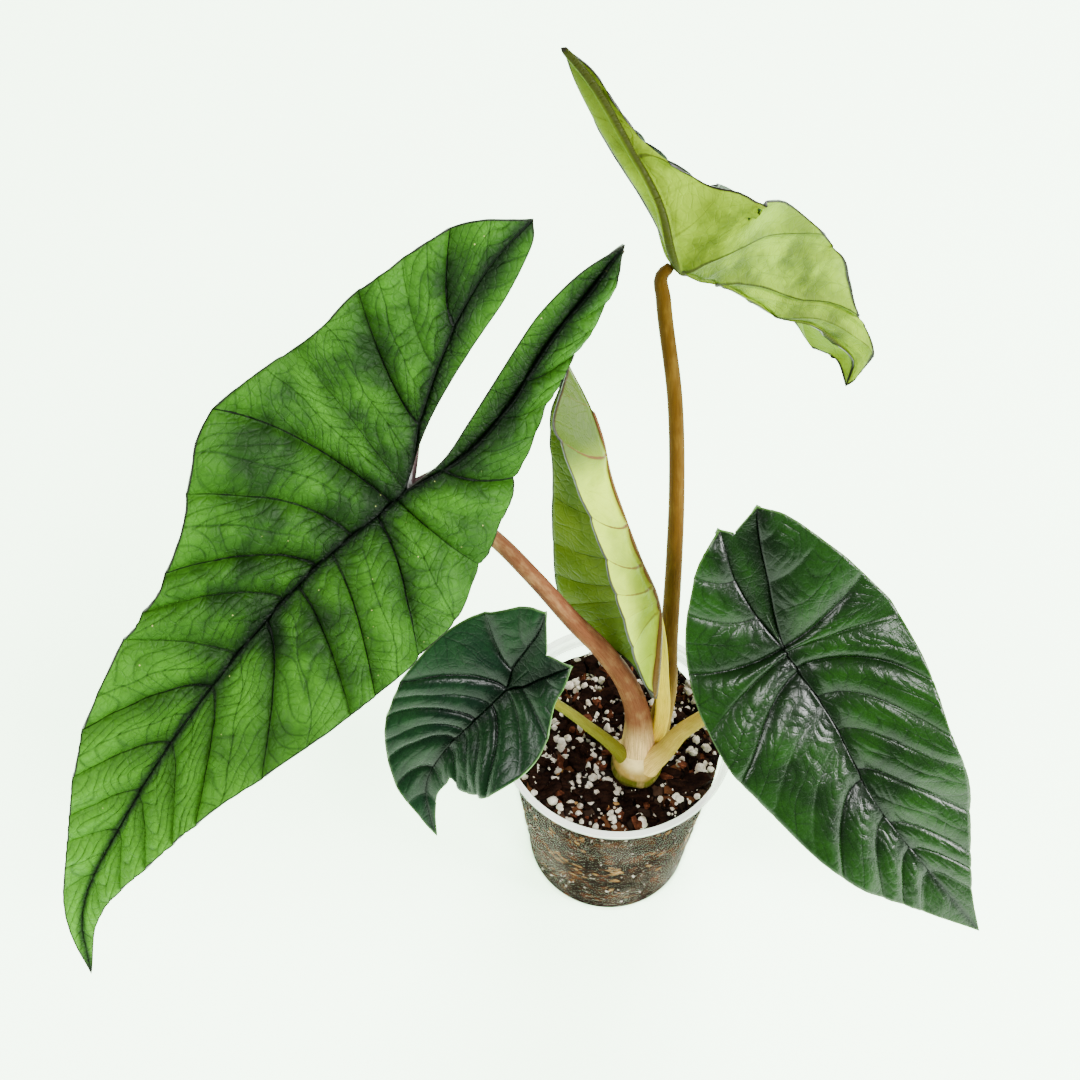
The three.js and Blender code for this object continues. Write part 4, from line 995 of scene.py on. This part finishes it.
def grain_finish():
    fin = Finish("perlite")
    where = fin.place()
    pits = fin.cells(where, 1500.0)
    dirt = fin.noise(where, 260.0, 4.0, 0.65)
    colour = fin.mix(fin.rise(dirt, 0.4, 0.7), (0.52, 0.48, 0.40), (0.30, 0.24, 0.17))
    colour = fin.mix(fin.fall(pits, 0.0, 0.2, 0.35, 0.0), colour, (0.12, 0.09, 0.06))
    return fin.done(colour, 0.8, fin.plus(pits, dirt), 0.35, 0.2)


def chip_finish(name, low, high):
    fin = Finish(name)
    where = fin.place()
    fibre = fin.noise(fin.stretch(where, 300.0, 900.0, 500.0), 1.0, 4.0, 0.65)
    patch = fin.noise(where, 120.0, 2.0)
    colour = fin.mix(fin.rise(fibre, 0.3, 0.7), low, high)
    colour = fin.mix(fin.rise(patch, 0.45, 0.7, 0.7), colour, low)
    return fin.done(colour, 0.7, fibre, 0.5, 0.06, 1.1)


MIX_LUMPS = 1.7


def mix_lump(p):
    """Unevenness of the mix at a point, about -1 to 1."""
    return noise.noise(p * 0.33) * 0.7 + noise.noise(p * 0.9) * 0.35


def soil_height(x, y):
    return (SOIL_TOP + 1.1 * np.sin(x * 0.21 + 1) * np.cos(y * 0.17)
            + 0.8 * np.sin(x * 0.53 - y * 0.41) + 0.5 * np.cos(y * 0.83 + x * 0.2))


def potting_mix():
    """The mix: bottom, side and rough top in one skin round the pot's axis."""
    low = FLOOR + 0.5
    side = 46
    limit = wall_inside(SOIL_TOP - 2) - FIT
    profile = [(0, low), (15, low), (30, low), (wall_inside(low) - FIT, low)]
    profile += [(wall_inside(z) - FIT, z) for z in np.linspace(low + 2, SOIL_TOP - 2, side)]
    profile += [(limit * (1 - f), None) for f in np.linspace(0.02, 1, 44)]
    piece, x, y = flat_grid(len(profile) - 1, 160)
    k = np.round(x * (len(profile) - 1)).astype(int)
    turn = 2 * np.pi * y
    co = np.zeros((len(x), 3))
    for i, (r, z) in enumerate(profile):
        here = k == i
        cx, cy = r * np.cos(turn[here]), r * np.sin(turn[here])
        co[here] = np.stack([cx, cy, soil_height(cx, cy) if z is None else np.full_like(cx, z)], -1)
    for i in range(len(co)):
        lump = mix_lump(Vector(co[i]))
        if k[i] >= 4 + side:
            away = 1 - math.exp(-((math.hypot(co[i][0] - STEM_X, co[i][1] - STEM_Y) / 12) ** 2))
            co[i][2] += lump * MIX_LUMPS * (0.4 + 0.6 * away)
        elif k[i] > 4:
            d = math.hypot(co[i][0], co[i][1])
            pull = min(0.0, lump * 1.3 - 0.5) if d > 1 else 0.0
            co[i][0] *= 1 + pull / d
            co[i][1] *= 1 + pull / d
    set_points(piece, co)
    edit(piece, weld(), outward())
    smooth(piece, 60)
    return piece


mix = potting_mix()
finish_piece(mix, "potting_mix", "soil", mix_finish())


def top_at(x, y):
    p = Vector((x, y, float(soil_height(x, y))))
    return p.z + mix_lump(p) * MIX_LUMPS


def bit(kind, rnd):
    """One grain or chip at the origin, about 1 mm in half size."""
    bpy.ops.object.select_all(action="DESELECT")
    if kind == "grain":
        bpy.ops.mesh.primitive_ico_sphere_add(subdivisions=2, radius=0.001)
    else:
        bpy.ops.mesh.primitive_cube_add(size=0.002)
        chamfer = lambda: bpy.ops.mesh.bevel(offset=0.00035, segments=1, affect="EDGES")
        edit(bpy.context.active_object, chamfer)
    piece = bpy.context.active_object
    seed = Vector((rnd.random() * 50, rnd.random() * 50, rnd.random() * 50))
    co = get_points(piece)
    for i in range(len(co)):
        p = Vector(co[i])
        if kind == "grain":
            co[i] = p * (1 + 0.42 * noise.noise(p * 1.3 + seed) + 0.2 * noise.noise(p * 3 + seed))
        else:
            co[i] = p + noise.noise_vector(p * 0.9 + seed) * 0.55
    set_points(piece, co)
    return piece


def scatter(kind, spots, node_name, material, rnd, shape=(1, 1, 1), models=6):
    """Copies a few modelled bits to their spots: (x, y, z, size)."""
    masters = [bit(kind, rnd) for _ in range(models)]
    copies = []
    for i, (x, y, z, size, *turn) in enumerate(spots):
        copy = masters[i % models].copy()
        copy.data = masters[i % models].data.copy()
        bpy.context.scene.collection.objects.link(copy)
        copy.scale = [size * s * rnd.uniform(0.75, 1.25) for s in shape]
        copy.rotation_euler = [rnd.uniform(0, 6.28) for _ in range(3)]
        if kind != "grain":
            copy.rotation_euler = [rnd.gauss(0, 0.45), rnd.gauss(0, 0.45), rnd.uniform(0, 6.28)]
        if kind != "grain" and turn:
            out = Vector((math.cos(turn[0]), math.sin(turn[0]), 0)).to_track_quat("Z", "Y")
            copy.rotation_euler = (out @ Quaternion((0, 0, 1), rnd.gauss(0, 0.6))).to_euler()
        copy.location = (x * MM, y * MM, z * MM)
        copies.append(copy)
    for master in masters:
        bpy.data.objects.remove(master)
    pick(*copies)
    bpy.ops.object.transform_apply(location=True, rotation=True, scale=True)
    bpy.ops.object.join()
    piece = copies[0]
    edit(piece, outward())
    smooth(piece, 40)
    return finish_piece(piece, node_name, "soil", material)


def top_spots(rnd, count, low, high, sink, limit=44.5):
    spots = []
    while len(spots) < count:
        turn = rnd.uniform(0, 2 * math.pi)
        r = limit * math.sqrt(rnd.random())
        x, y = r * math.cos(turn), r * math.sin(turn)
        size = low + (high - low) * rnd.random() ** 2
        if math.hypot(x - STEM_X, y - STEM_Y) < STEM_RADIUS + 1.5 + size:
            continue
        if r + size * 1.4 > wall_inside(SOIL_TOP) - 0.4:
            continue
        spots.append((x, y, top_at(x, y) + size * sink, size))
    return spots


def wall_spots(rnd, count, low, high, reach=1.3, bottom=8, top=101):
    spots = []
    for _ in range(count):
        z = rnd.uniform(bottom, top)
        turn = rnd.uniform(0, 2 * math.pi)
        size = rnd.uniform(low, high)
        r = wall_inside(z) - 0.25 - size * reach
        spots.append((r * math.cos(turn), r * math.sin(turn), z, size, turn))
    return spots


draws = random.Random(71)
# Blender seeds its vector noise, which shapes the chips, from the clock unless it is given a seed
CHIP_SEED = 1795768575
noise.seed_set(CHIP_SEED)
grains = top_spots(draws, 360, 0.7, 2.1, 0.35)
grains += top_spots(draws, 420, 0.25, 0.7, 0.5)
grains += wall_spots(draws, 260, 0.25, 0.9)
scatter("grain", grains, "perlite_grains", grain_finish(), draws)
# name, darker and lighter colour, shape, spots on top, spots along the wall
BARKS = (
    ("dark_bark", (0.002, 0.0012, 0.001), (0.012, 0.005, 0.003), (2.0, 1.0, 0.5),
     (210, 1.2, 3.0, 0.15, 43), [(90, 0.9, 1.6, 0.75)]),
    ("red_bark", (0.020, 0.006, 0.003), (0.085, 0.026, 0.012), (2.0, 0.9, 0.45),
     (70, 0.9, 2.3, 0.2, 43), [(60, 0.6, 1.2, 0.7)]),
    ("tan_bark", (0.10, 0.045, 0.014), (0.30, 0.17, 0.06), (1.8, 0.9, 0.5),
     (24, 0.6, 1.3, 0.3, 43), [(110, 0.4, 0.9, 0.75), (70, 0.6, 1.4, 0.75, 34, 60)]))
for name, low, high, shape, top, walls in BARKS:
    chips = top_spots(draws, *top)
    for wall in walls:
        chips += wall_spots(draws, *wall)
    scatter("chip", chips, name, chip_finish(name, low, high), draws, shape)

# ---- floor, light and camera
bpy.ops.object.select_all(action="DESELECT")
bpy.ops.mesh.primitive_plane_add(size=14, location=(0, 0, 0))
floor = bpy.context.active_object
floor.name = "floor"
paper = Finish("pale_floor")
paper_tone = paper.noise(paper.place(), 3.0, 2.0)
paper.put("Base Color", paper.mix(paper_tone, (0.84, 0.90, 0.84), (0.85, 0.91, 0.85)))
paper.put("Roughness", 0.9)
paper.put("Emission Color", (0.60, 1.0, 0.56, 1.0))
paper.put("Emission Strength", 4.2)
floor.data.materials.append(paper.material)


def soft_light(name, where, target, size, watts):
    lamp = bpy.data.lights.new(name, "AREA")
    lamp.shape = "RECTANGLE"
    lamp.size, lamp.size_y = size
    lamp.energy = watts
    light = bpy.data.objects.new(name, lamp)
    bpy.context.scene.collection.objects.link(light)
    light.location = where
    light.rotation_euler = (Vector(target) - Vector(where)).to_track_quat("-Z", "Y").to_euler()


soft_light("key", (-1.4, -0.6, 1.25), (0, 0, 0.2), (0.8, 0.8), 62)
soft_light("back", (0.35, 1.5, 1.35), (0, 0, 0.2), (1.2, 0.6), 80)
soft_light("fill", (1.55, -0.45, 0.95), (0, 0, 0.2), (0.7, 0.7), 125)
soft_light("top", (0.35, -0.7, 1.35), (0.03, 0, 0.12), (0.3, 0.3), 26)
world = bpy.data.worlds.new("studio")
world.use_nodes = True
sky = world.node_tree.nodes["Background"]
sky.inputs[0].default_value = (0.93, 1.0, 0.95, 1)
sky.inputs[1].default_value = 0.3
bpy.context.scene.world = world

FILM_MM = 36
FRAME_PIXELS = 1080
FOCAL_PIXELS = 1600
LOOK_DOWN = 56
lens = bpy.data.cameras.new("view")
lens.sensor_fit = "HORIZONTAL"
lens.sensor_width = FILM_MM
lens.lens = FILM_MM * FOCAL_PIXELS / FRAME_PIXELS
lens.clip_start = 0.01
camera = bpy.data.objects.new("view", lens)
bpy.context.scene.collection.objects.link(camera)
camera.location = (-0.0336, -0.3252, 0.7456)
camera.rotation_euler = (math.radians(90 - LOOK_DOWN), 0, 0)
bpy.context.scene.camera = camera
